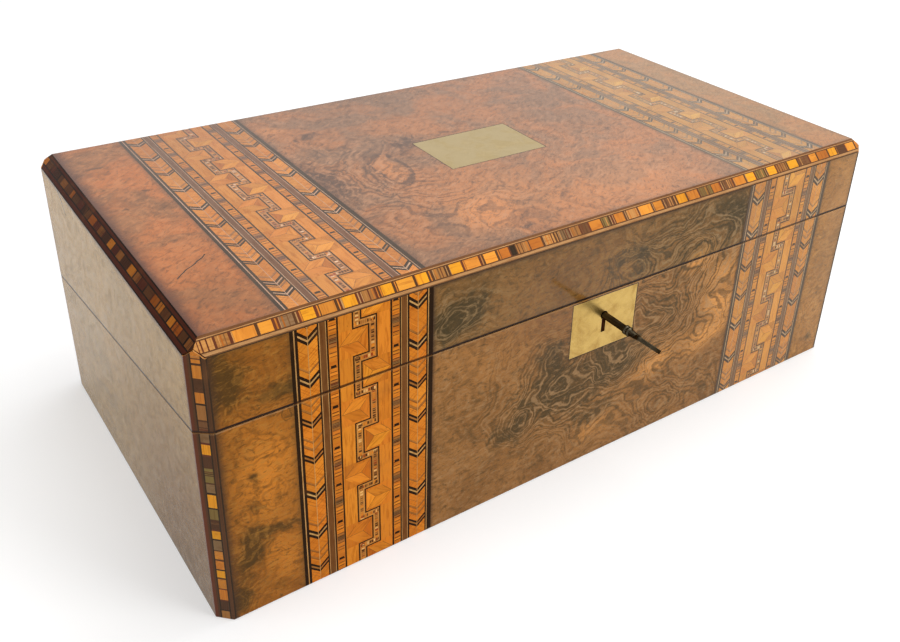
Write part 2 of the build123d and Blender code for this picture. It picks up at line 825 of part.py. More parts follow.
# Inside the lid
save("lid_hinge_rail", for_lid(hinge_rail()) & cavity)
lid_ledge_reach = reach_at(-inner_y, -flap_under)
save("lid_ledges", *[for_lid(ledge) & cavity for ledge in ledges(lid_ledge_reach)])
catch_bed, catch = catch_form()
save("lid_flap_board", for_lid(flap_panel(lid_flap_end) - catch_bed))
save("lid_flap_catch", for_lid(catch))
save("lid_flap_leather", for_lid(flap_leather(lid_flap_end)))
save("lid_flap_fixed_leaves", *[for_lid(leaf) for leaf in flap_leaves(1, 180)])
save("lid_flap_moving_leaves", *[for_lid(leaf) for leaf in flap_leaves(0, 0)])
save("lid_flap_pins", *[for_lid(pin) for pin in flap_pins()])
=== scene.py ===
import math
import random

import bmesh
import bpy
from mathutils import Matrix, Vector
from mathutils.geometry import delaunay_2d_cdt


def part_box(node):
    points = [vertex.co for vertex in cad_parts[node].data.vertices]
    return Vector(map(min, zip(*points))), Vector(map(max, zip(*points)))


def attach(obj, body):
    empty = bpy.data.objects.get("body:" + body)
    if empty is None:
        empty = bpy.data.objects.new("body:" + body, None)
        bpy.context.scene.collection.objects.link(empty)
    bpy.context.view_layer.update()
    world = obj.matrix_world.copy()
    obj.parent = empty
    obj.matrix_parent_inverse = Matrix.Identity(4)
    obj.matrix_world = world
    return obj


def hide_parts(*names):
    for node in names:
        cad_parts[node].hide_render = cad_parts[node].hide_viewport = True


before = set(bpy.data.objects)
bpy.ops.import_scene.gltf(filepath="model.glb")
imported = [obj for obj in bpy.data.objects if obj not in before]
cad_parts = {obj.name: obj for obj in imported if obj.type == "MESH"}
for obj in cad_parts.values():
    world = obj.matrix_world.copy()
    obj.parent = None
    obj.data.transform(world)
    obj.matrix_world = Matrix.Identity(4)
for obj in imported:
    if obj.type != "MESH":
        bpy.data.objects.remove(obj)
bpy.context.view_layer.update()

# The boards of base and lid. Mahogany, 11 mm thick at the sides, 8 and 7 mm for the top and the
# bottom, glued and pinned at the corners, veneered outside and wiped with thin polish inside.
MM = 0.001


def node(tree, kind, sockets=None, **settings):
    """Adds a shader node, sets it up and joins or sets its sockets."""
    new = tree.nodes.new("ShaderNode" + kind)
    for name, value in settings.items():
        setattr(new, name, value)
    for name, value in (sockets or {}).items():
        if isinstance(value, bpy.types.NodeSocket):
            tree.links.new(value, new.inputs[name])
        else:
            new.inputs[name].default_value = value
    return new


def calc(tree, operation, *values, clamp=False):
    """One step of arithmetic on values."""
    step = node(tree, "Math", dict(enumerate(values)), operation=operation, use_clamp=clamp)
    return step.outputs[0]


def vec(tree, operation, *values):
    """One step of arithmetic on vectors."""
    step = node(tree, "VectorMath", dict(enumerate(values)), operation=operation)
    return step.outputs["Value" if operation in ("LENGTH", "DOT_PRODUCT", "DISTANCE") else "Vector"]


def ramp(tree, value, low, high, to_low=0.0, to_high=1.0):
    """Carries a value smoothly from one range to another."""
    step = node(
        tree,
        "MapRange",
        {"Value": value, "From Min": low, "From Max": high, "To Min": to_low, "To Max": to_high},
        interpolation_type="SMOOTHSTEP",
    )
    return step.outputs["Result"]


def blended(tree, amount, under, over, how="MIX"):
    """One colour over another."""
    step = node(tree, "Mix", {0: amount, 6: under, 7: over}, data_type="RGBA", blend_type=how)
    return step.outputs[2]


def tinged(tree, amount, strength, under, over):
    """One colour over another, as far as an amount times a strength."""
    return blended(tree, calc(tree, "MULTIPLY", amount, strength), under, over)


def speckle(tree, place, scale, detail=3.0, roughness=0.5, distortion=0.0, stretch=None, out="Factor"):
    """Noise over the piece, its scale in cells per millimetre, stretched along the grain."""
    if stretch:
        place = vec(tree, "MULTIPLY", place, stretch)
    sockets = {"Vector": place, "Scale": scale, "Detail": detail, "Roughness": roughness}
    new = node(tree, "TexNoise", sockets | {"Distortion": distortion})
    return new.outputs[0 if out == "Factor" else 1]


def new_group(name, inputs, outputs):
    """Node group whose sockets are numbers, vectors or colours, as their values are. Gives the tree, the
    inputs and the sockets of its outputs."""
    tree = bpy.data.node_groups.new(name, "ShaderNodeTree")
    kinds = {3: "NodeSocketVector", 4: "NodeSocketColor"}
    for label, value in inputs.items():
        kind = kinds[len(value)] if isinstance(value, tuple) else "NodeSocketFloat"
        tree.interface.new_socket(label, in_out="INPUT", socket_type=kind).default_value = value
    for label in outputs:
        kind = "NodeSocketColor" if label == "Colour" else "NodeSocketFloat"
        tree.interface.new_socket(label, in_out="OUTPUT", socket_type=kind)
    return tree, tree.nodes.new("NodeGroupInput").outputs, tree.nodes.new("NodeGroupOutput").inputs


def use(tree, group, **sockets):
    """Places a node group in a material. An underscore in a name stands for a space."""
    named = {name.replace("_", " "): value for name, value in sockets.items()}
    return node(tree, "Group", named, node_tree=group).outputs


def finish(name, **constants):
    """New material, with its tree, the piece's own places in millimetres and its shader."""
    material = bpy.data.materials.new(name)
    material.use_nodes = True
    tree = material.node_tree
    shader = tree.nodes["Principled BSDF"]
    for socket, value in constants.items():
        shader.inputs[socket.replace("_", " ")].default_value = value
    own = node(tree, "TexCoord").outputs["Object"]
    return material, tree, scaled(tree, own, 1 / MM), shader


def scaled(tree, vector, factor):
    """Vector times a number."""
    step = node(tree, "VectorMath", {0: vector}, operation="SCALE")
    step.inputs["Scale"].default_value = factor
    return step.outputs["Vector"]


def surface(tree, shader, colour, rough, height=None, strength=0.3, depth=0.05):
    """Joins a finish's colour, roughness and relief to its shader."""
    tree.links.new(colour, shader.inputs["Base Color"])
    tree.links.new(rough, shader.inputs["Roughness"])
    if height is not None:
        relief = node(tree, "Bump", {"Height": height, "Strength": strength, "Distance": depth * MM})
        tree.links.new(relief.outputs["Normal"], shader.inputs["Normal"])


def dress(material, *names):
    """Gives CAD parts a finish."""
    for name in names:
        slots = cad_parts[name].data.materials
        slots.clear()
        slots.append(material)


grain, given, made = new_group(
    "board grain",
    {"Place": (0, 0, 0), "Ring spacing": 9.0, "Wander": 1.0},
    ("Rings", "Pores", "Cloud", "Height"),
)
slow = vec(grain, "MULTIPLY", given["Place"], (0.06, 1.0, 1.0))
drift = calc(grain, "MULTIPLY", speckle(grain, slow, 0.035, 3.0), 6.0)
drift = calc(grain, "MULTIPLY", drift, given["Wander"])
across = node(grain, "SeparateXYZ", {0: given["Place"]}).outputs
ring_place = calc(grain, "DIVIDE", calc(grain, "ADD", across["Y"], across["Z"]), given["Ring spacing"])
rings = calc(grain, "FRACT", calc(grain, "ADD", ring_place, drift))
flecks = speckle(grain, given["Place"], 1.6, 2.0, stretch=(0.07, 1.0, 1.0))
pores = ramp(grain, flecks, 0.56, 0.7)
cloud = speckle(grain, given["Place"], 0.02, 3.0, stretch=(0.4, 1.0, 1.0))
for label, value in {
    "Rings": ramp(grain, rings, 0.35, 1.0),
    "Pores": pores,
    "Cloud": cloud,
    "Height": calc(grain, "SUBTRACT", 1.0, pores),
}.items():
    grain.links.new(value, made[label])


def board_finish(name, light, dark, pore, turn=(0, 0, 0), spacing=9.0, **constants):
    """Plain wood with its grain along X, or turned to run another way."""
    material, tree, place, shader = finish(name, **constants)
    turned = node(tree, "VectorRotate", {"Vector": place, "Rotation": turn}, rotation_type="EULER_XYZ")
    figure = use(tree, grain, Place=turned.outputs[0], Ring_spacing=spacing)
    colour = tinged(tree, figure["Rings"], 0.6, light, dark)
    colour = blended(tree, ramp(tree, figure["Cloud"], 0.4, 0.75), colour, dark)
    colour = tinged(tree, figure["Pores"], 0.65, colour, pore)
    rough = ramp(tree, figure["Cloud"], 0.3, 0.7, 0.38, 0.52)
    surface(tree, shader, colour, rough, figure["Height"], 0.35, 0.08)
    return material


MAHOGANY = [(0.235, 0.088, 0.036, 1), (0.135, 0.042, 0.017, 1), (0.05, 0.014, 0.006, 1)]
TURN_TO_Y = (0, 0, math.radians(90))
mahogany_along_x = board_finish("mahogany along the front", *MAHOGANY)
mahogany_along_y = board_finish("mahogany along the ends", *MAHOGANY, turn=TURN_TO_Y)
for half in ("base", "lid"):
    dress(mahogany_along_x, f"{half}_front_board", f"{half}_back_board")
    dress(mahogany_along_y, f"{half}_left_board", f"{half}_right_board")
dress(mahogany_along_x, "base_bottom_board", "lid_top_board")

# Burr walnut veneers of the front, top and ends. Leaves of 1 mm, cut from knotty root wood, laid over
# the boards, worn and French polished. Each leaf's dark eyes and swirls lie where the photo shows them.
eye, given, made = new_group(
    "burr eye",
    {"Place": (0, 0, 0), "Middle": (0, 0, 0), "Turn": (0, 0, 0), "Size": (10, 10, 10)},
    ("Nearness", "Rim"),
)
laying = {"Location": given["Middle"], "Rotation": given["Turn"], "Scale": given["Size"]}
laid = node(eye, "Mapping", {"Vector": given["Place"]} | laying, vector_type="TEXTURE")
far_off = vec(eye, "LENGTH", laid.outputs[0])
fall = calc(eye, "EXPONENT", calc(eye, "MULTIPLY", calc(eye, "POWER", far_off, 2.0), -1.0))
eye.links.new(fall, made["Nearness"])
off_rim = calc(eye, "ABSOLUTE", calc(eye, "SUBTRACT", far_off, 1.0))
eye.links.new(ramp(eye, off_rim, 0.2, 0.04), made["Rim"])

burr, given, made = new_group(
    "burr walnut",
    {
        "Place": (0, 0, 0),
        "Fibre": (0, 0, 0),
        "Hills": 0.0,
        "Wildness": 2.6,
        "Figured": 0.0,
        "Dark": 0.0,
        "Crackle": 0.0,
        "Loops": 0.0,
        "Glow": 0.0,
        "Light colour": (0.3, 0.14, 0.05, 1),
        "Warm colour": (0.35, 0.14, 0.04, 1),
        "Dark colour": (0.06, 0.035, 0.02, 1),
        "Pale colour": (0.36, 0.2, 0.12, 1),
        "Glow colour": (0.5, 0.24, 0.08, 1),
    },
    ("Colour", "Roughness", "Height"),
)
place = given["Place"]
waves = calc(burr, "MULTIPLY", speckle(burr, place, 0.024, 2.0, 0.45, 0.3), given["Wildness"])
hills = calc(burr, "ADD", given["Hills"], waves)
broken = speckle(burr, place, 0.11, 3.0, 0.6)
fine_lines = calc(burr, "SINE", calc(burr, "MULTIPLY_ADD", hills, 60.0, calc(burr, "MULTIPLY", broken, 2.6)))
broad_lines = calc(burr, "SINE", calc(burr, "MULTIPLY", hills, 19.0))
lines = calc(burr, "MULTIPLY_ADD", broad_lines, 0.5, calc(burr, "MULTIPLY_ADD", broken, 1.6, fine_lines))
dark_lines = calc(burr, "MULTIPLY", ramp(burr, lines, 1.0, 1.9), given["Figured"])
pale_lines = calc(burr, "MULTIPLY", ramp(burr, lines, 0.3, -0.4), given["Figured"])
cloud = speckle(burr, place, 0.028, 5.0, 0.6, 0.8)
mottle = speckle(burr, place, 0.22, 4.0, 0.65, 0.5)
strokes = speckle(burr, given["Fibre"], 0.62, 4.0, 0.7, 0.5, stretch=(0.32, 1.0, 1.0))
specks = ramp(burr, speckle(burr, given["Fibre"], 1.0, 2.0, 0.5, 0.2, stretch=(0.4, 1.0, 1.0)), 0.63, 0.7)
ridge = calc(burr, "ABSOLUTE", calc(burr, "SUBTRACT", speckle(burr, place, 0.16, 4.0, 0.6, 1.6), 0.5))
wander = calc(burr, "MULTIPLY", ramp(burr, ridge, 0.022, 0.004), given["Crackle"])
wander = calc(burr, "MULTIPLY", wander, ramp(burr, mottle, 0.4, 0.6))
shade = calc(burr, "MULTIPLY_ADD", calc(burr, "SUBTRACT", cloud, 0.5), 0.9, given["Dark"])
shade = ramp(burr, calc(burr, "MULTIPLY_ADD", calc(burr, "SUBTRACT", mottle, 0.5), 1.1, shade), 0.2, 0.9)
colour = blended(burr, ramp(burr, cloud, 0.38, 0.62), given["Light colour"], given["Warm colour"])
for amount, strength, over in (
    (given["Glow"], 1.0, "Glow colour"),
    (shade, 0.88, "Dark colour"),
    (ramp(burr, mottle, 0.52, 0.68), 0.42, "Dark colour"),
    (ramp(burr, mottle, 0.47, 0.33), 0.3, "Pale colour"),
    (dark_lines, 0.75, "Dark colour"),
    (pale_lines, 0.6, "Pale colour"),
    (ramp(burr, strokes, 0.51, 0.66), 0.5, "Dark colour"),
    (ramp(burr, strokes, 0.47, 0.34), 0.45, "Pale colour"),
    (specks, 0.55, "Dark colour"),
    (wander, 0.7, "Dark colour"),
    (calc(burr, "MULTIPLY", given["Loops"], ramp(burr, mottle, 0.38, 0.5)), 0.75, "Dark colour"),
):
    colour = tinged(burr, amount, strength, colour, given[over])
burr.links.new(colour, made["Colour"])
burr.links.new(ramp(burr, mottle, 0.3, 0.7, 0.2, 0.32), made["Roughness"])
burr.links.new(calc(burr, "MULTIPLY_ADD", cloud, 0.6, calc(burr, "MULTIPLY", strokes, -0.4)), made["Height"])

grime, given, made = new_group(
    "dirt at the edges",
    {"Place": (0, 0, 0), "Low": (0, 0, 0), "High": (1, 1, 1), "Width": 6.0},
    ("Dirt", "Inside"),
)
from_low = vec(grime, "SUBTRACT", given["Place"], given["Low"])
from_high = vec(grime, "SUBTRACT", given["High"], given["Place"])
nearest = node(grime, "SeparateXYZ", {0: vec(grime, "MINIMUM", from_low, from_high)}).outputs
nearest = calc(grime, "MINIMUM", nearest["X"], calc(grime, "MINIMUM", nearest["Y"], nearest["Z"]))
ragged = calc(grime, "MULTIPLY", speckle(grime, given["Place"], 0.14, 4.0, 0.6), given["Width"])
edge = calc(grime, "SUBTRACT", 1.0, calc(grime, "DIVIDE", nearest, ragged), clamp=True)
inside = calc(grime, "GREATER_THAN", nearest, -0.01)
grime.links.new(calc(grime, "MULTIPLY", calc(grime, "POWER", edge, 1.5), inside), made["Dirt"])
grime.links.new(inside, made["Inside"])

gap, given, made = new_group(
    "dirt round a fitting",
    {"Place": (0, 0, 0), "Low": (0, 0, 0), "High": (1, 1, 1)},
    ("Dirt",),
)
below = vec(gap, "SUBTRACT", given["Low"], given["Place"])
above = vec(gap, "SUBTRACT", given["Place"], given["High"])
outside = vec(gap, "LENGTH", vec(gap, "MAXIMUM", vec(gap, "MAXIMUM", below, above), (0, 0, 0)))
uneven = calc(gap, "MULTIPLY_ADD", speckle(gap, given["Place"], 0.2, 3.0, 0.6), -1.2, outside)
gap.links.new(ramp(gap, uneven, 0.3, -0.3), made["Dirt"])

crack, given, made = new_group(
    "hairline crack",
    {
        "Place": (0, 0, 0),
        "Start": (0, 0, 0),
        "Along": (1, 0, 0),
        "Across": (0, 1, 0),
        "Length": 20.0,
        "Width": 0.5,
    },
    ("Crack",),
)
from_start = vec(crack, "SUBTRACT", given["Place"], given["Start"])
reach = vec(crack, "DOT_PRODUCT", from_start, given["Along"])
SWAY, SAME_FACE = 3.5, 9.0
sway = calc(crack, "SUBTRACT", speckle(crack, given["Place"], 0.08, 2.0, 0.5), 0.5)
sway = calc(crack, "MULTIPLY", sway, SWAY)
off = calc(crack, "ADD", vec(crack, "DOT_PRODUCT", from_start, given["Across"]), sway)
off = calc(crack, "ABSOLUTE", off)
away = vec(crack, "DOT_PRODUCT", from_start, vec(crack, "CROSS_PRODUCT", given["Along"], given["Across"]))
begun = calc(crack, "GREATER_THAN", reach, 0.0)
ends = calc(crack, "MULTIPLY", begun, calc(crack, "LESS_THAN", reach, given["Length"]))
ends = calc(crack, "MULTIPLY", ends, calc(crack, "LESS_THAN", calc(crack, "ABSOLUTE", away), SAME_FACE))
split = ramp(crack, calc(crack, "DIVIDE", off, given["Width"]), 1.0, 0.4)
crack.links.new(calc(crack, "MULTIPLY", split, ends), made["Crack"])

seam, given, made = new_group("wear at the joint", {"Place": (0, 0, 0)}, ("Rubbed lip", "Dark lip"))
SEAM_FALL, HINGE_Y, HINGE_Z, HALF_GAP = 0.1418, 106.0, 70.5, 0.2
level = vec(seam, "DOT_PRODUCT", given["Place"], (0, SEAM_FALL, 1.0))
level = calc(seam, "SUBTRACT", level, HINGE_Z + HINGE_Y * SEAM_FALL)
uneven = calc(seam, "MULTIPLY", speckle(seam, given["Place"], 0.1, 3.0, 0.6), 1.5)
rubbed = ramp(seam, calc(seam, "ADD", level, uneven), -0.2, 0.1)
below = calc(seam, "MULTIPLY", calc(seam, "LESS_THAN", level, 0.0), rubbed)
above = calc(seam, "MULTIPLY", calc(seam, "GREATER_THAN", level, 0.0), ramp(seam, level, 1.4, 0.9))
seam.links.new(below, made["Rubbed lip"])
seam.links.new(above, made["Dark lip"])


def sum_of_eyes(tree, place, eyes, part="Nearness"):
    """Adds up burr eyes, or only their rims, given as middle, half lengths, turn in degrees and strength."""
    total = 0.0
    for middle, size, turn, strength in eyes:
        turned = tuple(math.radians(angle) for angle in turn)
        near = use(tree, eye, Place=place, Middle=middle, Turn=turned, Size=size)[part]
        total = calc(tree, "MULTIPLY_ADD", near, strength, total)
    return total


def covered(tree, place, eyes, part="Nearness", already=0.0):
    """How far a place is covered by burr eyes, from none to one."""
    return calc(tree, "ADD", sum_of_eyes(tree, place, eyes, part), already, clamp=True)


WARM = (1.0, 0.76, 0.55, 1)


def walnut_finish(name, colours, marks, panels, wildness=2.6, bend=26.0, run=(0, 0, 0), **constants):
    """Burr veneer with its eyes, dark clouds, figured and glowing places, dirt along the edges of its panels
    and round its fittings, cracks, and the rubbed lips of the joint. A pale veil over it is painted sheen,
    and the brighter and darker places of the ends are painted reflection and shade."""
    material, tree, place, shader = finish(name, Specular_Tint=WARM, **constants)
    half = (0.5, 0.5, 0.5)
    large = scaled(tree, vec(tree, "SUBTRACT", speckle(tree, place, 0.03, 3.0, 0.5, out="Color"), half), bend)
    small = scaled(tree, vec(tree, "SUBTRACT", speckle(tree, place, 0.13, 2.0, 0.5, out="Color"), half), 5.0)
    bent = vec(tree, "ADD", place, vec(tree, "ADD", large, small))
    fibre = vec(tree, "ADD", place, scaled(tree, large, 0.5))
    turn = tuple(math.radians(angle) for angle in run)
    fibre = node(tree, "VectorRotate", {"Vector": fibre, "Rotation": turn}, rotation_type="EULER_XYZ")
    near = vec(tree, "ADD", place, scaled(tree, small, 1.6))
    wood = use(
        tree,
        burr,
        Place=bent,
        Fibre=fibre.outputs[0],
        Hills=sum_of_eyes(tree, bent, marks.get("rings", [])),
        Wildness=wildness,
        Figured=covered(tree, bent, marks.get("figured", []), already=0.08),
        Dark=sum_of_eyes(tree, bent, marks.get("darks", [])),
        Crackle=covered(tree, bent, marks.get("crackle", [])),
        Loops=covered(tree, near, marks.get("loops", []), "Rim"),
        Glow=covered(tree, bent, marks.get("glow", [])),
        Light_colour=colours[0],
        Warm_colour=colours[1],
        Dark_colour=colours[2],
        Pale_colour=colours[3],
        Glow_colour=colours[4],
    )
    colour = scaled(tree, wood["Colour"], 1.0)
    # Brightness scaled by the bright marks; on the left end these are painted reflection and painted shade.
    bright = calc(tree, "ADD", sum_of_eyes(tree, place, marks.get("bright", [])), 1.0)
    tree.links.new(bright, colour.node.inputs["Scale"])
    for low, high, tone in panels:
        edge = use(tree, grime, Place=place, Low=low, High=high, Width=6.0)
        toned = blended(tree, 1.0, colour, tone + (1,), "MULTIPLY")
        colour = blended(tree, edge["Inside"], colour, toned)
        colour = tinged(tree, edge["Dirt"], 0.5, colour, colours[2])
    # Painted sheen: a pale veil over the colour where light is reflected, on the right of the front and of
    # the top.
    colour = blended(tree, covered(tree, place, marks.get("painted_sheen", [])), colour, (0.4, 0.24, 0.13, 1))
    for low, high, width, strength, stain in marks.get("borders", []):
        edge = use(tree, grime, Place=place, Low=low, High=high, Width=width)["Dirt"]
        colour = tinged(tree, edge, strength, colour, stain)
    for low, high in marks.get("fittings", []):
        dirt = use(tree, gap, Place=place, Low=low, High=high)["Dirt"]
        colour = tinged(tree, dirt, 0.8, colour, (0.03, 0.012, 0.007, 1))
    for start, along, across, length, width in marks.get("cracks", []):
        sizes = {"Length": length, "Width": width}
        split = use(tree, crack, Place=place, Start=start, Along=along, Across=across, **sizes)["Crack"]
        colour = blended(tree, split, colour, (0.02, 0.01, 0.007, 1))
    lips = use(tree, seam, Place=place)
    colour = tinged(tree, lips["Rubbed lip"], 0.4, colour, (0.46, 0.27, 0.13, 1))
    colour = blended(tree, lips["Dark lip"], colour, (0.012, 0.003, 0.002, 1))
    rough = wood["Roughness"]
    if "gloss" in marks:
        gloss = covered(tree, place, marks["gloss"])
        deeper = blended(tree, 1.0, colour, (0.9, 0.78, 0.45, 1), "MULTIPLY")
        colour = blended(tree, gloss, colour, deeper)
        clear = calc(tree, "SUBTRACT", 1.0, lips["Dark lip"], clamp=True)
        coat = calc(tree, "MULTIPLY", calc(tree, "MULTIPLY", gloss, 0.42), clear)
        tree.links.new(coat, shader.inputs["Coat Weight"])
    surface(tree, shader, colour, rough, wood["Height"], 0.25, 0.06)
    return material


FLAT = (0, 0, 0)
FAR, THROUGH = 999.0, 99


def face_eyes(axis, level, eyes):
    """Eyes of a flat face, from rows of two places, two half lengths, turn and strength. They reach
    right through the leaf."""
    placed = {key: [] for key in eyes}
    for key, rows in eyes.items():
        for u, v, half_u, half_v, turn, strength in rows:
            middle, size, turns = [u, v], [half_u, half_v], [0, 0, 0]
            middle.insert(axis, level)
            size.insert(axis, THROUGH)
            turns[axis] = turn
            placed[key].append((middle, size, turns, strength))
    return placed


# Edges of the three walnut panels of the front and of the top, in millimetres.
LEFT_EDGE, LEFT_END, MIDDLE_START = -193.1, -160.7, -95.1
MIDDLE_END, RIGHT_START, RIGHT_EDGE = 102.6, 168.2, 193.1
TOP_EDGE, TOP_DEPTH, FRONT_TOP = 193.7, 99.2, 134.7
OLD_STAIN = (0.055, 0.014, 0.008, 1)
FRONT_COLOURS = [
    (0.25, 0.107, 0.026, 1), (0.33, 0.145, 0.038, 1), (0.06, 0.036, 0.009, 1), (0.4, 0.23, 0.1, 1),
    (0.68, 0.29, 0.07, 1),
]
front_eyes = {
    "rings": [
        (-49, 40, 13, 11, -20, 0.9), (-20, 52, 22, 20, 30, 1.0), (-28, 74, 10, 9, 0, 0.5),
        (17, 56, 18, 15, 0, 0.5), (34, 72, 50, 26, 12, 1.8), (68, 103, 24, 22, 0, 1.2),
        (24, 112, 16, 9, 0, 0.8), (60, 14, 30, 12, 15, 0.6), (-84, 113, 14, 9, 0, 0.8),
        (-164, 97, 7, 6, 0, 0.3), (-181, 84, 7, 8, 30, 0.2), (-172, 62, 10, 5, 20, 0.2),
        (-185, 50, 5, 8, -20, 0.25), (-168, 22, 11, 6, -30, 0.3), (-182, 12, 8, 5, 0, 0.25),
        (-178, 118, 12, 6, 15, 0.25),
    ],
    "darks": [
        (-80, 117, 15, 12, 0, 0.4), (-50, 40, 15, 11, -20, 0.82), (-20, 52, 24, 20, 35, 0.95),
        (-28, 76, 10, 9, 0, 0.65), (17, 57, 18, 14, 20, 1.05), (12, 29, 18, 6, 0, 0.5),
        (46, 78, 30, 17, 15, 0.6), (84, 28, 14, 9, 0, 0.45), (64, 12, 14, 8, 0, 0.4),
        (101, 6, 14, 12, 0, 0.5), (22, 113, 20, 10, 0, 0.75), (20, 109, 8, 5, 0, -0.9),
        (60, 126, 34, 9, 0, 0.55), (-82, 115, 17, 11, 0, 0.85), (94, 120, 13, 15, 0, 0.95),
        (-188, 122, 9, 16, 0, 1.1), (-168, 111, 9, 5, 0, 0.9), (-186, 33, 9, 13, 20, 1.15),
        (-190, 9, 8, 9, 0, 1.1), (-179, 73, 3.5, 3.5, 0, 0.8), (-172, 42, 12, 3.5, 0, 0.85),
        (-180, 59, 5, 4, 0, 0.6), (186, 14, 4, 2.4, 20, 1.0), (182, 43, 1, 1, 0, 1.2),
    ],
    "figured": [
        (-24, 50, 48, 30, 15, 1.0), (56, 70, 54, 36, -10, 1.0), (64, 112, 54, 26, 0, 1.0),
        (-82, 114, 22, 14, 0, 0.9), (70, 14, 60, 18, 0, 0.6), (180, 40, 20, 60, 0, 0.35),
        (-178, 100, 20, 34, 0, 0.36), (-178, 30, 20, 38, 0, 0.4),
    ],
    "crackle": [(-60, 70, 40, 40, 0, 0.2), (-178, 50, 20, 90, 0, 0.5)],
    "loops": [
        (68, 103, 11, 7, -10, 1.0), (72, 103, 20, 14, -10, 0.5), (18, 113, 13, 7.5, 10, 0.8),
        (-164, 97, 3, 3, 0, 0.8), (-181, 84, 2.4, 2.2, 0, 0.7), (-86, 113, 5, 3.5, 0, 0.8),
        (-49, 38, 4.5, 4, 0, 0.7), (-28, 73, 4, 6, 0, 0.6), (78, 17, 5, 4, 0, 0.5),
    ],
    "glow": [
        (92, 68, 11, 8, 0, 1.5), (86, 50, 18, 7, -15, 1.2), (44, 44, 15, 6, -25, 1.0),
        (8, 16, 12, 7, 0, 0.6), (70, 99, 9, 6, 0, 1.2), (90, 88, 12, 8, 0, 0.8),
        (-70, 90, 26, 20, 0, 0.15), (-175, 74, 12, 24, 0, 0.75), (-170, 24, 10, 15, 0, 0.6),
    ],
    # painted sheen down the right panel
    "painted_sheen": [(188, 90, 26, 90, 0, 0.35)],
    "gloss": [(-14, 110, 46, 30, 0, 1.4)],
}
front_marks = face_eyes(1, -105, front_eyes) | {
    "fittings": [((-15.25, -200, 68.5), (26.25, 0, 99.1))],
    "borders": [
        ((LEFT_EDGE, -FAR, -FAR), (FAR, FAR, FAR), 9.0, 0.7, (0.05, 0.02, 0.01, 1)),
        ((MIDDLE_START, -FAR, -FAR), (MIDDLE_END, FAR, FRONT_TOP), 4.0, 0.7, (0.05, 0.02, 0.01, 1)),
    ],
}
front_panels = [
    ((LEFT_EDGE, -200, -50), (LEFT_END, 0, FRONT_TOP), (1.06, 0.82, 0.3)),
    ((MIDDLE_START, -200, 100.5), (MIDDLE_END, 0, FRONT_TOP), (0.8, 0.88, 0.92)),
    ((RIGHT_START, -200, -50), (RIGHT_EDGE, 0, FRONT_TOP), (1.32, 1.26, 0.92)),
]
front_walnut = walnut_finish(
    "walnut of the front",
    FRONT_COLOURS,
    front_marks,
    front_panels,
    wildness=2.2,
    bend=20.0,
    run=(0, 8, 0),
    Specular_IOR_Level=0.16,
    Coat_Roughness=0.09,
)
dress(front_walnut, "base_front_veneer", "lid_front_veneer")

END_COLOURS = [
    (0.33, 0.22, 0.092, 1), (0.375, 0.24, 0.095, 1), (0.15, 0.095, 0.04, 1), (0.44, 0.3, 0.14, 1),
    (0.235, 0.108, 0.01, 1),
]
# On the left end, brighter towards the top and the back and darker, deeper orange at the lower front, through
# the bright and glow marks and the last end colour: painted reflection and painted shade.
end_marks = {
    "bright": [
        ((-200, 60, 130), (60, 90, 60), FLAT, 0.25),
        ((-200, -85, 122), (60, 40, 30), FLAT, 0.16),
        ((-200, -100, 0), (60, 80, 70), FLAT, -0.36),
    ],
    "glow": [((-200, -100, 10), (60, 80, 70), FLAT, 1.5)],
    "borders": [((-FAR, -FAR, -FAR), (FAR, FAR, FRONT_TOP), 5.0, 0.9, OLD_STAIN)],
    "figured": [((-200, 40, 40), (60, 60, 50), FLAT, 0.5), ((200, -20, 80), (60, 60, 60), FLAT, 0.6)],
    "darks": [
        ((-200, 60, 100), (60, 24, 14), FLAT, 0.3),
        ((-200, -40, 60), (60, 30, 20), FLAT, 0.3),
        ((200, 50, 100), (60, 30, 24), FLAT, 0.5),
        ((200, -60, 40), (60, 20, 20), FLAT, 0.5),
    ],
    "cracks": [((-200, 69.5, 134.5), (0, -0.68, -0.73), (0, 0.73, -0.68), 13.5, 0.95)],
}
end_panels = [((-210, -98.6, 0.5), (210, 130, FRONT_TOP), (1.0, 0.93, 0.76))]
end_walnut = walnut_finish(
    "walnut of the ends",
    END_COLOURS,
    end_marks,
    end_panels,
    wildness=1.2,
    run=(0, 0, 90),
    Specular_IOR_Level=0.12,
)
dress(end_walnut, "base_end_veneers", "lid_end_veneers")

BACK_COLOURS = [
    (0.29, 0.165, 0.07, 1), (0.37, 0.2, 0.08, 1), (0.06, 0.036, 0.018, 1), (0.45, 0.28, 0.14, 1),
    (0.46, 0.24, 0.09, 1),
]
back_eyes = {
    "rings": [(-70, 60, 60, 34, 0, 1.4), (110, 90, 50, 30, 20, 1.2)],
    "darks": [
        (-80, 62, 34, 18, 0, 0.6), (110, 92, 30, 14, 20, 0.6), (20, 20, 50, 12, 0, 0.45),
        (-160, 120, 24, 10, 0, 0.55),
    ],
    "figured": [(-70, 60, 80, 40, 0, 0.9), (110, 88, 70, 40, 0, 0.9)],
    "glow": [(30, 90, 40, 24, 0, 0.4), (160, 30, 30, 20, 0, 0.4)],
    "loops": [(-62, 58, 7, 5, 0, 0.8), (118, 96, 8, 5, 0, 0.8)],
}
back_marks = face_eyes(1, 105, back_eyes)
back_walnut = walnut_finish(
    "walnut of the back",
    BACK_COLOURS,
    back_marks,
    end_panels,
    wildness=1.8,
    bend=20.0,
    Specular_IOR_Level=0.25,
)
dress(back_walnut, "base_back_veneer", "lid_back_veneer")

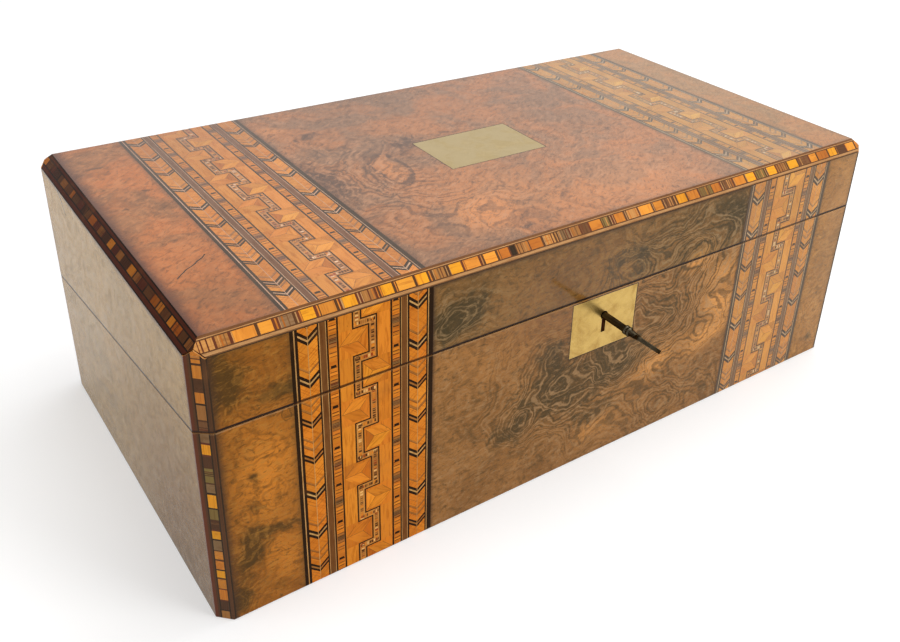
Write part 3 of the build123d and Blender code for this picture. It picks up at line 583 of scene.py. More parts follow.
TOP_COLOURS = [
    (0.23, 0.118, 0.066, 1), (0.37, 0.145, 0.058, 1), (0.08, 0.045, 0.033, 1), (0.45, 0.225, 0.12, 1),
    (0.62, 0.24, 0.08, 1),
]
top_eyes = {
    "rings": [(-44, 0, 50, 56, 0, 1.3), (-28, 27, 9, 7, 0, 0.6)],
    "darks": [
        (-37, 20, 15, 11, 20, 0.75), (-26, 27, 7, 6, 0, 0.6), (-66, 56, 9, 7, 0, 0.45),
        (-42, 59, 6, 5, 0, 0.35), (-92, -2, 10, 32, 0, 0.75), (-70, 30, 20, 40, 0, 0.2),
        (-32, -90, 5, 3, 0, 0.7), (-14, -68, 5, 4, 0, 0.45), (-181, 67, 3, 2, 0, 0.9),
        (-169, 31, 1.6, 1.6, 0, 1.0), (-185, 18, 1.4, 1.4, 0, 1.0), (-185, 12, 1.2, 1.2, 0, 0.9),
        (80, -15, 4, 3, 0, 0.6), (82, 75, 5, 3, 0, 0.35), (60, 14, 24, 10, 0, 0.15),
    ],
    "figured": [(-72, -14, 34, 56, 0, 0.75), (-30, -70, 50, 26, 0, 0.45), (-180, 0, 20, 99, 0, 0.3)],
    "crackle": [(-28, -60, 60, 34, 0, 1.0), (-66, 20, 34, 60, 0, 0.6)],
    "loops": [(-55, -3, 8.5, 19, -6, 1.0), (-57, -2, 10, 21, -6, 0.5), (-89, 68, 1.6, 1.6, 0, 1.0)],
    "glow": [
        (-48, -67, 14, 17, 0, 0.7), (-25, -55, 26, 26, 0, 0.4), (-54, -3, 7, 15, -8, 0.5),
        (-84, 74, 7, 6, 0, 0.5), (30, -80, 50, 26, 0, 0.3), (-180, -60, 20, 50, 0, 0.2),
    ],
    "bright": [(60, -60, 60, 50, 0, 0.2), (-10, 95, 90, 40, 0, -0.12), (-180, -90, 22, 50, 0, -0.22)],
    # painted sheen over the right of the top
    "painted_sheen": [(180, 30, 60, 130, 0, 0.35)],
}
top_marks = face_eyes(2, 140, top_eyes) | {
    "fittings": [((-28.4, -19.7, 0), (32.0, 19.7, 200))],
    "borders": [((-TOP_EDGE, -FAR, -FAR), (FAR, FAR, FAR), 16.0, 1.0, (0.075, 0.022, 0.012, 1))],
    "cracks": [((-185, -55.6, 141), (0.76, 0.65, 0), (-0.65, 0.76, 0), 22.4, 0.42)],
}
top_panels = [
    ((-TOP_EDGE, -TOP_DEPTH, 100), (LEFT_END, TOP_DEPTH, 200), (1.15, 0.92, 0.65)),
    ((MIDDLE_START, -TOP_DEPTH, 100), (MIDDLE_END, TOP_DEPTH, 200), (1.0, 1.0, 1.0)),
    ((RIGHT_START, -TOP_DEPTH, 100), (TOP_EDGE, TOP_DEPTH, 200), (1.0, 0.99, 0.66)),
]
top_walnut = walnut_finish(
    "walnut of the top",
    TOP_COLOURS,
    top_marks,
    top_panels,
    wildness=1.3,
    run=(0, 0, -36),
    Specular_IOR_Level=0.4,
)
dress(top_walnut, "lid_top_veneer")

# Parquetry bands over the lid and down the front. Built up from strips and small pieces of satinwood,
# ebony, rosewood, holly and stained woods, sawn into 1 mm slices and glued flush with the walnut.
WOODS = {
    "ebony": (0.018, 0.009, 0.004),
    "brown": (0.16, 0.073, 0.032),
    "holly": (0.5, 0.33, 0.19),
    "satin": (0.6, 0.225, 0.034),
    "satin light": (0.66, 0.265, 0.042),
    "satin dark": (0.47, 0.155, 0.022),
    "tan": (0.36, 0.165, 0.055),
    "grey": (0.24, 0.15, 0.085),
    "green": (0.2, 0.15, 0.05),
    "red": (0.3, 0.06, 0.02),
    "yellow": (0.8, 0.36, 0.02),
    "umber": (0.085, 0.034, 0.014),
    "pale": (0.5, 0.25, 0.09),
    "honey": (0.74, 0.32, 0.045),
    "cream": (0.74, 0.52, 0.3),
    "maroon": (0.12, 0.03, 0.014),
    "box": (0.48, 0.28, 0.135),
}


def inlay_finish(name, tone, painted_sheen, dim=(), **constants):
    """One finish for all the small woods: each piece brings its colour and the run of its grain, and a pale
    veil over them is painted sheen.
    """
    material, tree, place, shader = finish(name, Specular_Tint=WARM, **constants)
    tint = node(tree, "Attribute", attribute_name="wood").outputs["Color"]
    tint = blended(tree, 1.0, tint, tone + (1,), "MULTIPLY")
    run = node(tree, "Attribute", attribute_name="run").outputs["Vector"]
    streaks = speckle(tree, run, 0.9, 3.0, 0.6, stretch=(0.12, 1.0, 1.0))
    cloud = speckle(tree, run, 0.12, 2.0, 0.5, stretch=(0.4, 1.0, 1.0))
    darker = blended(tree, 1.0, tint, (0.72, 0.62, 0.5, 1), "MULTIPLY")
    colour = blended(tree, ramp(tree, streaks, 0.42, 0.72), tint, darker)
    colour = tinged(tree, ramp(tree, cloud, 0.5, 0.8), 0.6, colour, darker)
    worn = speckle(tree, place, 0.06, 4.0, 0.6)
    colour = blended(tree, ramp(tree, worn, 0.55, 0.8, 0.0, 0.3), colour, (0.2, 0.075, 0.02, 1))
    lost = ramp(tree, speckle(tree, place, 0.5, 4.0, 0.7), 0.66, 0.72)
    colour = tinged(tree, lost, 0.5, colour, (0.06, 0.025, 0.012, 1))
    # painted sheen: a pale veil over the pieces, strongest on the right-hand bands
    painted_sheen_amount = ramp(tree, speckle(tree, place, 0.035, 3.0, 0.5), 0.3, 0.7, painted_sheen * 0.6, painted_sheen)
    colour = blended(tree, painted_sheen_amount, colour, (0.6, 0.42, 0.27, 1))
    colour = blended(tree, covered(tree, place, dim), colour, (0.12, 0.08, 0.06, 1))
    lips = use(tree, seam, Place=place)
    colour = tinged(tree, lips["Rubbed lip"], 0.15, colour, (0.46, 0.27, 0.12, 1))
    colour = tinged(tree, lips["Dark lip"], 0.85, colour, (0.02, 0.006, 0.003, 1))
    rough = ramp(tree, streaks, 0.3, 0.8, 0.24, 0.38)
    surface(tree, shader, colour, rough, streaks, 0.25, 0.03)
    return material


# The right-hand copies carry more painted sheen than the left ones.
front_woods = {
    "left": inlay_finish("inlaid woods, front left", (1.12, 0.92, 0.53), 0.0, Specular_IOR_Level=0.06),
    "right": inlay_finish("inlaid woods, front right", (0.98, 1.0, 0.95), 0.14, Specular_IOR_Level=0.2),
}
back_corner = [((-130, 100, 140), (60, 60, 99), FLAT, 0.3)]
top_woods = {
    "left": inlay_finish(
        "inlaid woods, top left", (0.89, 0.82, 0.95), 0.06, back_corner, Specular_IOR_Level=0.35
    ),
    "right": inlay_finish("inlaid woods, top right", (0.68, 0.77, 0.9), 0.2, Specular_IOR_Level=0.4),
}
edge_woods = inlay_finish("inlaid woods of the edges", (1.0, 0.9, 0.7), 0.02, Specular_IOR_Level=0.15)
# Painted shade: the bandings of the side bevels are toned dark all over, as if out of the light.
shaded_side_woods = inlay_finish(
    "inlaid woods of the side bevels, painted shade", (0.43, 0.32, 0.2), 0.0, Specular_IOR_Level=0.03
)


def kept_inside(polygon, low, high):
    """Part of a flat polygon within a rectangle."""
    for axis, limit, side in ((0, low[0], 1), (0, high[0], -1), (1, low[1], 1), (1, high[1], -1)):
        kept = []
        for here, after in zip(polygon, polygon[1:] + polygon[:1]):
            a, b = side * (here[axis] - limit), side * (after[axis] - limit)
            if a >= 0:
                kept.append(here)
            if (a > 0 > b) or (a < 0 < b):
                share = a / (a - b)
                kept.append(tuple(p + share * (q - p) for p, q in zip(here, after)))
        polygon = kept
        if len(polygon) < 3:
            return None
    return polygon


SMALLEST_TILE, SAME_PLACE, WELD = 0.004, 1e-3, 2e-6


def turned_area(polygon):
    """Area of a flat polygon, below none where it runs clockwise."""
    return sum(p[0] * q[1] - q[0] * p[1] for p, q in zip(polygon, polygon[1:] + polygon[:1])) / 2


def inlaid_sheet(name, outline, tiles, spot, seed, woods_finish, flipped=False, folds=()):
    """Closed sheet whose face is cut into tiles, and folded along lines of even u. Later tiles lie over
    earlier ones. spot(u, v, depth) gives the place of a point of the face or back, in millimetres."""
    draw = random.Random(seed)
    low = [min(p[axis] for p in outline) for axis in (0, 1)]
    high = [max(p[axis] for p in outline) for axis in (0, 1)]
    points, loops, woods = [], [], []
    for polygon, wood, turn in [(outline, "satin", 0.0)] + tiles:
        polygon = kept_inside(list(polygon), low, high)
        if polygon is None:
            continue
        area = turned_area(polygon)
        if abs(area) < SMALLEST_TILE:
            continue
        if area < 0:
            polygon.reverse()
        loops.append(list(range(len(points), len(points) + len(polygon))))
        points += [Vector(p) for p in polygon]
        tone = draw.uniform(0.88, 1.12)
        red, green, blue = WOODS[wood]
        tint = (red * tone, green * tone * draw.uniform(0.96, 1.04), blue * tone, 1.0)
        woods.append((tint, math.radians(turn), draw.uniform(-900, 900), draw.uniform(-900, 900)))
    creases = []
    for u in folds:
        creases.append((len(points), len(points) + 1))
        points += [Vector((u, low[1] - 1)), Vector((u, high[1] + 1))]
    places, _, faces, _, _, owners = delaunay_2d_cdt(points, creases, loops, 4, SAME_PLACE)
    rings, tints, runs = [], [], []
    top = len(places)
    corners = [spot(p.x, p.y, 0) for p in places] + [spot(p.x, p.y, 1) for p in places]
    for face, owner in zip(faces, owners):
        if 0 not in owner:
            continue
        tint, turn, shift, slide = woods[max(owner)]
        face = list(face)
        if turned_area([places[index] for index in face]) < 0:
            face.reverse()
        rings.append(face)
        cos, sin = math.cos(turn), math.sin(turn)
        for index in face:
            u, v = places[index]
            runs.append((u * cos + v * sin + shift, v * cos - u * sin + slide, shift))
            tints.append(tint)
    edges = {}
    for face in rings:
        for a, b in zip(face, face[1:] + face[:1]):
            edges[a, b] = edges.get((a, b), 0) + 1
    rims = [(a, b) for a, b in edges if (b, a) not in edges]
    backs = [[index + top for index in reversed(face)] for face in rings]
    sides = [[b, a, a + top, b + top] for a, b in rims]
    for face in backs + sides:
        for index in face:
            tints.append(WOODS["pale"] + (1.0,))
            runs.append(tuple(corners[index]))
    mesh = bpy.data.meshes.new(name)
    mesh.from_pydata([Vector(c) * MM for c in corners], [], rings + backs + sides)
    if flipped:
        mesh.flip_normals()
    wood = mesh.attributes.new("wood", "FLOAT_COLOR", "CORNER")
    wood.data.foreach_set("color", [part for tint in tints for part in tint])
    run = mesh.attributes.new("run", "FLOAT_VECTOR", "CORNER")
    run.data.foreach_set("vector", [part for place in runs for part in place])
    body = bmesh.new()
    body.from_mesh(mesh)
    bmesh.ops.remove_doubles(body, verts=body.verts, dist=WELD)
    loose = [v for v in body.verts if not v.link_faces]
    bmesh.ops.delete(body, geom=loose, context="VERTS")
    body.to_mesh(mesh)
    body.free()
    mesh.materials.append(woods_finish)
    piece = bpy.data.objects.new(name, mesh)
    bpy.context.scene.collection.objects.link(piece)
    return piece


def box_tile(left, right, start, end):
    """Rectangle of a band or banding."""
    return [(left, start), (right, start), (right, end), (left, end)]


def fit(piece, cad, body):
    """Puts a sheet on its body, in place of the plain CAD part."""
    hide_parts(cad)
    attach(piece, body)


FEATHER_DROP = 3.6


def feather_strip(left, right, length, pairs, draw):
    """Strip of slanted veneers that meet in a V, with dark pairs and a pale line down the middle."""
    tiles = []
    middle = (left + right) / 2

    def slanted(start, end, wood):
        for edge, turn in ((left, 40), (right, -40)):
            shape = [(edge, start), (middle, start + FEATHER_DROP), (middle, end + FEATHER_DROP), (edge, end)]
            tiles.append((shape, wood, turn))

    slanted(-8, length + 8, "satin")
    marks = sorted(pairs)
    for index, (start, bold) in enumerate(marks):
        thick, pale = (1.65, 0.95) if bold else (1.3, 1.0)
        after = start + 2 * thick + pale
        until = marks[index + 1][0] if index + 1 < len(marks) else length + 8
        slanted(after, until, draw.choice(["satin", "satin light", "satin"]))
        at = after + draw.uniform(1.0, 2.5)
        while at < until - 1.5:
            thin = draw.uniform(0.18, 0.35)
            slanted(at, at + thin, draw.choice(["satin dark", "satin dark", "tan", "satin light"]))
            at += draw.uniform(1.4, 3.2)
        lines = ((draw.uniform(3.5, 5.5), 0.9),) if bold else ((8.6, 0.9), (4.8, 1.1))
        for back, thin in lines:
            slanted(start - back, start - back + thin, "tan")
            slanted(start - back + thin, start - back + thin + 0.3, "brown")
        slanted(start, start + thick, "ebony")
        slanted(start + thick, start + thick + pale, "holly" if bold else "tan")
        slanted(start + thick + pale, after, "ebony")
    tiles.append((box_tile(middle - 0.14, middle + 0.14, -1, length + 1), "holly", 90))
    return tiles


def block_strip(left, right, length, bars, draw):
    """Strip of cross-cut blocks, with a black bar at each given place and thin ticks either side."""
    tiles = [(box_tile(left, right, -1, length + 1), "satin", 0)]
    usual = 21.0
    for index, bar in enumerate(bars):
        after = bars[index + 1] if index + 1 < len(bars) else bar + usual
        pitch = (after - bar) / usual
        pieces = [(2.2, "satin"), (1.7, "satin light"), (2.3, "satin"), (1.6, "tan"), (2.0, "grey")]
        at = bar + 1.0
        for size, wood in pieces + pieces[-2::-1]:
            size *= pitch * draw.uniform(0.9, 1.1)
            tiles.append((box_tile(left, right, at, at + size), wood, 0))
            for tick in (0.0, 0.7, 1.4) if wood == "grey" else (0.0,):
                thin = draw.uniform(0.3, 0.55)
                shape = box_tile(left + 0.2, right - 0.2, at + tick, at + tick + thin)
                tiles.append((shape, draw.choice(["umber", "brown", "maroon"]), 0))
            at += size
        tiles.append((box_tile(left + 0.55, right - 0.55, bar, bar + 1.3), "ebony", 0))
    return tiles


def thick_line(points, width, wood):
    """Line of the band drawn with square corners."""
    tiles = []
    half = width / 2
    for (u0, s0), (u1, s1) in zip(points, points[1:]):
        low_u, high_u, low_s, high_s = min(u0, u1), max(u0, u1), min(s0, s1), max(s0, s1)
        tiles.append((box_tile(low_u - half, high_u + half, low_s - half, high_s + half), wood, 90))
    return tiles


def sliver(start, stop, thickness):
    """Thin glue line from one point to another."""
    start, stop = Vector(start), Vector(stop)
    along = stop - start
    side = Vector((-along.y, along.x)).normalized() * thickness / 2
    return [tuple(corner) for corner in (start - side, stop - side, stop + side, start + side)]


MEANDER_PERIOD = 34.2


def meander(left, right, length, first, draw):
    """Squared wave of fine mosaic between dark lines, with a box of three facets in each bay. The
    first bay of the left side has its middle at the given place."""
    width = right - left
    a, b, c, d = (left + width * share for share in (0.272, 0.427, 0.571, 0.728))
    tiles = [
        (box_tile(left, right, -1, length + 1), "satin", 90),
        (box_tile(left, a, -1, length + 1), "satin light", 90),
        (box_tile(d, right, -1, length + 1), "satin light", 90),
    ]
    half, wall = MEANDER_PERIOD / 2, 3.7
    bay = (half - wall) / 2
    count = int(length / MEANDER_PERIOD) + 3
    outer, inner = [], []
    start = first - 2 * MEANDER_PERIOD
    for turn in range(count + 2):
        middle = start + turn * MEANDER_PERIOD
        near, far = middle - bay, middle + bay
        outer += [(a, near), (c, near), (c, far), (a, far)]
        inner += [(b, near - wall), (d, near - wall), (d, far + wall), (b, far + wall)]
        # facets of the left bay, then of the right one half a period on
        for flip, at in ((False, middle), (True, middle + half)):
            edge, wall_line = (right - 0.3, b) if flip else (left + 0.3, c)
            sign = -1 if flip else 1
            span = abs(wall_line - edge)
            top, low = at - bay * 0.78, at + bay * 0.82
            point = (edge, at)
            heart = (edge + sign * (span * 0.62), at - 0.2)
            top_far, low_far = (wall_line - sign * 0.9, top), (wall_line - sign * 0.9, low)
            top_near = (edge + sign * span * 0.36, top)
            low_near = (edge + sign * span * 0.4, low)
            bay_floor = box_tile(min(edge, wall_line), max(edge, wall_line), at - bay, at + bay)
            tiles.append((bay_floor, "satin", 90))
            light, dim = "honey", "satin light"
            if not flip:
                light, dim = draw.choice([("satin light", "satin"), ("satin", "satin light")])
            tiles.append(([point, top_near, top_far, heart], dim, 145 if flip else 35))
            tiles.append(([point, heart, low_far, low_near], light, -145 if flip else -35))
            tiles.append(([heart, top_far, low_far], "satin dark" if draw.random() < 0.4 else light, 80))
            for here, there in ((point, heart), (heart, top_far), (heart, low_far), (point, top_near)):
                tiles.append((sliver(here, there, 0.16), "brown", 0))
    strips = []
    for turn in range(count + 2):
        middle = start + turn * MEANDER_PERIOD
        near, far = middle - bay, middle + bay
        strips.append(box_tile(c, d, near - wall, far + wall))
        strips.append(box_tile(a, d, near - wall, near))
        strips.append(box_tile(a, d, far, far + wall))
        strips.append(box_tile(a, b, far, far + half * 2 - 2 * bay))
    for shape in strips:
        tiles.append((shape, "pale", 90))
    for shape in strips:
        (u0, s0), _, (u1, s1), _ = shape
        upright = abs(s1 - s0) > abs(u1 - u0)
        middle_u, middle_s = (u0 + u1) / 2, (s0 + s1) / 2
        at = (s0 if upright else u0) + 0.6
        end = (s1 if upright else u1) - 0.6
        while at < end:
            size = draw.uniform(0.5, 1.1)
            wood = draw.choice(["red", "umber", "brown", "satin", "tan", "satin light", "cream", "umber"])
            if upright:
                tiles.append((box_tile(middle_u - 0.75, middle_u + 0.75, at, min(at + size, end)), wood, 0))
            else:
                tiles.append((box_tile(at, min(at + size, end), middle_s - 0.75, middle_s + 0.75), wood, 90))
            at += size + draw.uniform(0.1, 0.5)
    tiles += thick_line(outer, 0.7, "ebony") + thick_line(inner, 0.7, "ebony")
    return tiles


# Lines along a band, from its left side: start, end and wood.
BAND_LINES = [
    (0.0, 1.6, "ebony"), (1.6, 2.1, "holly"), (2.1, 3.3, "ebony"), (11.7, 12.4, "ebony"),
    (12.4, 12.75, "holly"), (12.75, 15.3, "brown"), (15.3, 15.6, "holly"), (15.6, 16.4, "ebony"),
    (20.1, 20.9, "ebony"), (44.9, 45.8, "ebony"), (49.3, 50.0, "ebony"), (50.0, 50.3, "holly"),
    (50.3, 52.9, "brown"), (52.9, 53.25, "holly"), (53.25, 54.1, "ebony"), (62.6, 63.3, "ebony"),
    (63.3, 63.75, "holly"), (63.75, 66.0, "ebony"),
]
DRAWN_WIDTH = 66.0


def band_tiles(width, length, pairs, bars, first, seed):
    """All tiles of a band, drawn from where it starts, with the points of its feathers facing its end."""
    draw = random.Random(seed)
    share = width / DRAWN_WIDTH
    left_pairs, right_pairs = pairs
    tiles = feather_strip(3.3 * share, 11.7 * share, length, left_pairs, draw)
    tiles += feather_strip(54.1 * share, 62.6 * share, length, right_pairs, draw)
    tiles += block_strip(16.5 * share, 20.1 * share, length, bars, draw)
    tiles += block_strip(45.8 * share, 49.3 * share, length, bars, draw)
    tiles += meander(20.9 * share, 44.9 * share, length, first, draw)
    for left, right, wood in BAND_LINES:
        tiles.append((box_tile(left * share, right * share, -1, length + 1), wood, 90))
    return tiles


HALF_WIDTH, HALF_DEPTH, TOP_Z, VENEER = 200.0, 105.5, 141.0, 1.0
FRONT_Y, FRONT_LOW = -HALF_DEPTH, 0.5


def front_band(name, cad, tiles, seed, woods_finish):
    """Stretch of a band down the front, in place of its plain CAD strip."""
    low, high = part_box(cad)
    left, right = low.x / MM, high.x / MM
    bottom, top = low.z / MM, high.z / MM
    if cad.startswith("lid"):
        bottom += SEAM_FALL * VENEER
    outline = box_tile(left, right, bottom, top)
    placed = [([(left + u, FRONT_TOP - s) for u, s in shape], wood, turn) for shape, wood, turn in tiles]
    seam = top if cad.startswith("base") else bottom

    def spot(u, v, depth):
        fall = SEAM_FALL * VENEER * depth if abs(v - seam) < SAME_PLACE else 0.0
        return (u, FRONT_Y + VENEER * depth, v - fall)

    return inlaid_sheet(name, outline, placed, spot, seed, woods_finish)


# Dark pairs of the feathers as in the photo: distance down the band, and whether they are bold.
front_pairs = [
    (1.0, True), (21.5, True), (42.4, False), (61.0, False), (80.1, True), (102.4, True),
    (122.4, False),
]
front_bars = [-0.5, 22.0, 42.0, 63.5, 83.7, 104.8, 126.7]
BAND_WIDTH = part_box("base_left_band")[1].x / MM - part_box("base_left_band")[0].x / MM
FRONT_LENGTH = FRONT_TOP - FRONT_LOW
FRONT_BAY, TOP_BAY, LOWER_BY = 14.4, 57.5, 5.0
for side, seed in (("left", 11), ("right", 23)):
    slip = 0.0 if side == "left" else LOWER_BY
    pairs = [(start + slip, bold) for start, bold in front_pairs]
    bars = [bar + slip for bar in front_bars]
    tiles = band_tiles(BAND_WIDTH, FRONT_LENGTH, (pairs, pairs), bars, FRONT_BAY + slip, seed)
    for body, cad in (("base", f"base_{side}_band"), ("lid", f"lid_front_{side}_band")):
        band = front_band(f"{body}_front_{side}_parquetry", cad, tiles, seed, front_woods[side])
        fit(band, cad, body)

top_pairs = (
    [
        (5.0, True), (27.0, True), (48.5, False), (70.0, True), (92.7, True), (113.8, False),
        (134.8, False), (153.4, False), (172.8, True), (182.3, True),
    ],
    [
        (-9.0, True), (14.0, True), (35.5, False), (57.0, True), (79.0, True), (104.7, True),
        (127.4, True), (150.1, False), (171.0, False), (189.2, True),
    ],
)
top_bars = [-1.0, 20.8, 42.6, 63.5, 84.5, 105.1, 126.8, 149.4, 171.0, 192.4]
TOP_LENGTH = 198.4
first_bay = TOP_LENGTH - TOP_BAY - 3 * MEANDER_PERIOD
for side, seed in (("left", 31), ("right", 43)):
    cad = f"lid_top_{side}_band"
    low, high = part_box(cad)
    left = low.x / MM
    back, front = high.y / MM, low.y / MM
    tiles = band_tiles(BAND_WIDTH, TOP_LENGTH, top_pairs, top_bars, first_bay, seed)
    placed = [([(left + u, back - s) for u, s in shape], wood, turn) for shape, wood, turn in tiles]
    outline = box_tile(left, left + BAND_WIDTH, front, back)
    laid_flat = lambda u, v, depth: (u, v, TOP_Z - depth)
    band = inlaid_sheet(f"lid_top_{side}_parquetry", outline, placed, laid_flat, seed, top_woods[side])
    fit(band, cad, "lid")

# Mosaic bandings on the four top bevels and the eight corner strips. Blocks of dyed and plain woods
# between stringing lines, glued into the chamfered arrises, mitred on top, cut through at the seam.
BRIGHT_RUN = ["yellow", "satin light", "grey", "pale", "satin", "tan"]
DEEP_RUN = ["yellow", "yellow", "satin", "umber", "honey", "satin dark", "yellow", "brown"]
SOBER_RUN = ["tan", "brown", "satin dark", "honey", "umber", "tan", "maroon", "umber", "brown"]
CORNER_RUN = ["yellow", "satin light", "grey", "tan", "umber", "brown", "green", "satin"]
# Blocks of the front banding from left to right, as in the photo: start, end and wood.
FRONT_BLOCKS = [
    (-198, -189, "pale"), (-188, -183, "tan"), (-181.2, -172.5, "satin light"), (-171, -165.6, "honey"),
    (-162.5, -157, "grey"), (-153.4, -148, "yellow"), (-145.6, -139, "satin light"),
    (-135.6, -129.7, "yellow"), (-126.6, -121.3, "tan"), (-118, -112.8, "yellow"),
    (-110.6, -102.8, "honey"), (-101.2, -96, "yellow"), (-92.8, -87.5, "tan"), (-84.7, -78.8, "yellow"),
    (-76.9, -69.7, "satin light"), (-66.9, -60.6, "honey"), (-58.4, -53.6, "satin dark"),
    (-52.8, -50, "ebony"), (-49.4, -42.6, "tan"), (-42, -35.3, "satin dark"), (-33.4, -28.1, "pale"),
    (-25.3, -19.4, "grey"), (-18.1, -13, "tan"), (-12.2, -7.6, "brown"), (-6.6, 0.3, "satin"),
    (1, 5, "green"), (9, 14.7, "satin"), (16.9, 23.7, "pale"), (25, 33, "honey"),
    (34.7, 40.3, "satin light"), (41.9, 47.5, "brown"), (50.6, 56.6, "yellow"), (58.4, 65.3, "satin"),
    (66.3, 75, "green"), (75.6, 81.3, "satin dark"), (84.4, 91, "brown"), (92.5, 100, "satin"),
    (101.6, 107.8, "yellow"), (108.8, 115.5, "green"), (118.4, 124.7, "yellow"), (125.8, 133.8, "tan"),
    (135, 142.5, "yellow"), (143.6, 152, "brown"), (153.4, 159, "honey"), (160.2, 168.6, "satin dark"),
    (170, 176.3, "yellow"), (177.6, 184.6, "umber"), (186, 192.8, "honey"), (194, 198, "satin"),
]


def drawn_run(blocks, low, high, draw):
    """Row of blocks of given places, with one dark slip or several slips in the gaps between them."""
    tiles = []
    for (start, end, wood), after in zip(blocks, blocks[1:] + blocks[:1]):
        tiles.append((box_tile(start, end, low, high), wood, draw.choice([0, 90])))
        if wood in ("tan", "grey", "green", "brown", "pale"):
            at = start + draw.uniform(0.4, 1.2)
            while at < end - 0.7:
                thin = draw.uniform(0.3, 0.7)
                slip = box_tile(at, at + thin, low, high)
                tiles.append((slip, draw.choice(["umber", "satin dark", "pale", "brown", "maroon"]), 90))
                at += thin + draw.uniform(0.5, 1.6)
        at, count = end, 0
        while at < after[0] - 0.1:
            dark = count % 2 == 0
            thin = min(draw.uniform(0.9, 1.3) if dark else draw.uniform(0.4, 0.7), after[0] - at)
            choices = ["umber", "umber", "maroon"] if dark else ["pale", "box", "satin"]
            tiles.append((box_tile(at, at + thin, low, high), draw.choice(choices), 90))
            at, count = at + thin, count + 1
    return tiles


def mosaic_run(start, end, low, high, moods, draw):
    """Row of blocks of uneven length along a banding, with thin slips between them. The choice of woods
    changes along it: moods gives where each choice ends."""
    tiles = []
    at = start
    last = None
    while at < end:
        mood = next(woods for until, woods in moods if at < until)
        wood = draw.choice([w for w in mood if w != last])
        last = wood
        size = draw.uniform(3.6, 7.4)
        tiles.append((box_tile(at, at + size, low, high), wood, draw.choice([0, 90, 90])))
        if draw.random() < 0.45:
            slips, slip_at = draw.randint(1, 3), at + size * draw.uniform(0.15, 0.7)
            for _ in range(slips):
                thin = draw.uniform(0.25, 0.6)
                slip = box_tile(slip_at, slip_at + thin, low, high)
                tiles.append((slip, draw.choice(["umber", "brown", "pale", "maroon"]), 90))
                slip_at += thin + draw.uniform(0.3, 0.8)
        at += size
        thin = draw.uniform(0.6, 1.1)
        slip = box_tile(at, at + thin, low, high)
        tiles.append((slip, draw.choice(["umber", "ebony", "umber", "maroon", "ebony"]), 90))
        at += thin
    return tiles


def stringing(start, end, lines):
    """Thin lines along a banding."""
    return [(box_tile(start, end, low, high), wood, 0) for low, high, wood in lines]


BEVEL, CHAMFER = 6.3, 5.9
BEVEL_WIDTH = BEVEL * math.sqrt(2)
BEVEL_BLOCKS, CORNER_BLOCKS = (2.2, 7.35), (2.2, 7.0)
CORNER_RISE = (CHAMFER + VENEER) / 2
# Lines along a banding, from its lower edge or from the long face: start, end and wood.
EDGE_LINES = [
    (-1, 0.35, "ebony"), (0.35, 0.8, "brown"), (0.8, 1.95, "box"), (1.95, 2.5, "umber"),
    (7.0, 7.5, "umber"), (7.5, 7.85, "box"), (7.85, 10, "brown"),
]
SIDE_LINES = [
    (-1, 0.5, "ebony"), (0.5, 2.2, "maroon"), (2.2, 2.8, "ebony"), (6.4, 7.0, "ebony"),
    (7.0, 8.3, "maroon"), (8.3, 10, "ebony"),
]
LONG_MOODS = [(0, BRIGHT_RUN), (FAR, DEEP_RUN)]
SHORT_MOODS = [(FAR, SOBER_RUN)]


def edge_band(name, side, long_half, short_half, lines, moods, seed, woods_finish):
    """Banding of one top bevel, drawn for the front and turned to its side."""
    draw = random.Random(seed)
    reach = long_half - CHAMFER - VENEER
    middle = CORNER_RISE * math.sqrt(2)
    inner = long_half - BEVEL
    tip = reach + CORNER_RISE
    outline = [(-reach, 0), (reach, 0), (tip, middle)]
    outline += [(inner, BEVEL_WIDTH), (-inner, BEVEL_WIDTH), (-tip, middle)]
    tiles = [(box_tile(-tip, tip, -1, 10), "brown", 0)]
    if name.endswith("front"):
        tiles += drawn_run(FRONT_BLOCKS, *BEVEL_BLOCKS, draw)
    else:
        tiles += mosaic_run(-tip, tip, *BEVEL_BLOCKS, moods, draw)
    tiles += stringing(-tip, tip, lines)
    spin = Matrix.Rotation(math.radians(side), 3, "Z")

    def spot(u, v, depth):
        across = v / BEVEL_WIDTH
        rise = (BEVEL - depth * VENEER) * across
        return spin @ Vector((u, depth * VENEER - short_half + rise, FRONT_TOP + rise))

    return inlaid_sheet(name, outline, tiles, spot, seed, woods_finish)


for name, side, long_half, short_half, lines, moods, seed, woods_finish in (
    ("edge_banding_front", 0, HALF_WIDTH, HALF_DEPTH, EDGE_LINES, LONG_MOODS, 51, edge_woods),
    ("edge_banding_back", 180, HALF_WIDTH, HALF_DEPTH, EDGE_LINES, LONG_MOODS, 52, edge_woods),
    ("edge_banding_left", -90, HALF_DEPTH, HALF_WIDTH, SIDE_LINES, SHORT_MOODS, 53, shaded_side_woods),
    ("edge_banding_right", 90, HALF_DEPTH, HALF_WIDTH, SIDE_LINES, SHORT_MOODS, 54, shaded_side_woods),
):
    band = edge_band(name, side, long_half, short_half, lines, moods, seed, woods_finish)
    fit(band, "lid_edge_bands", "lid")

CHAMFER_WIDTH = CHAMFER * math.sqrt(2)
CORNER_LINES = [
    (-1, 0.6, "ebony"), (0.6, 2.2, "umber"), (2.2, 2.8, "ebony"), (6.4, 7.0, "ebony"),
    (7.0, 7.9, "umber"), (7.9, 12, "maroon"),
]


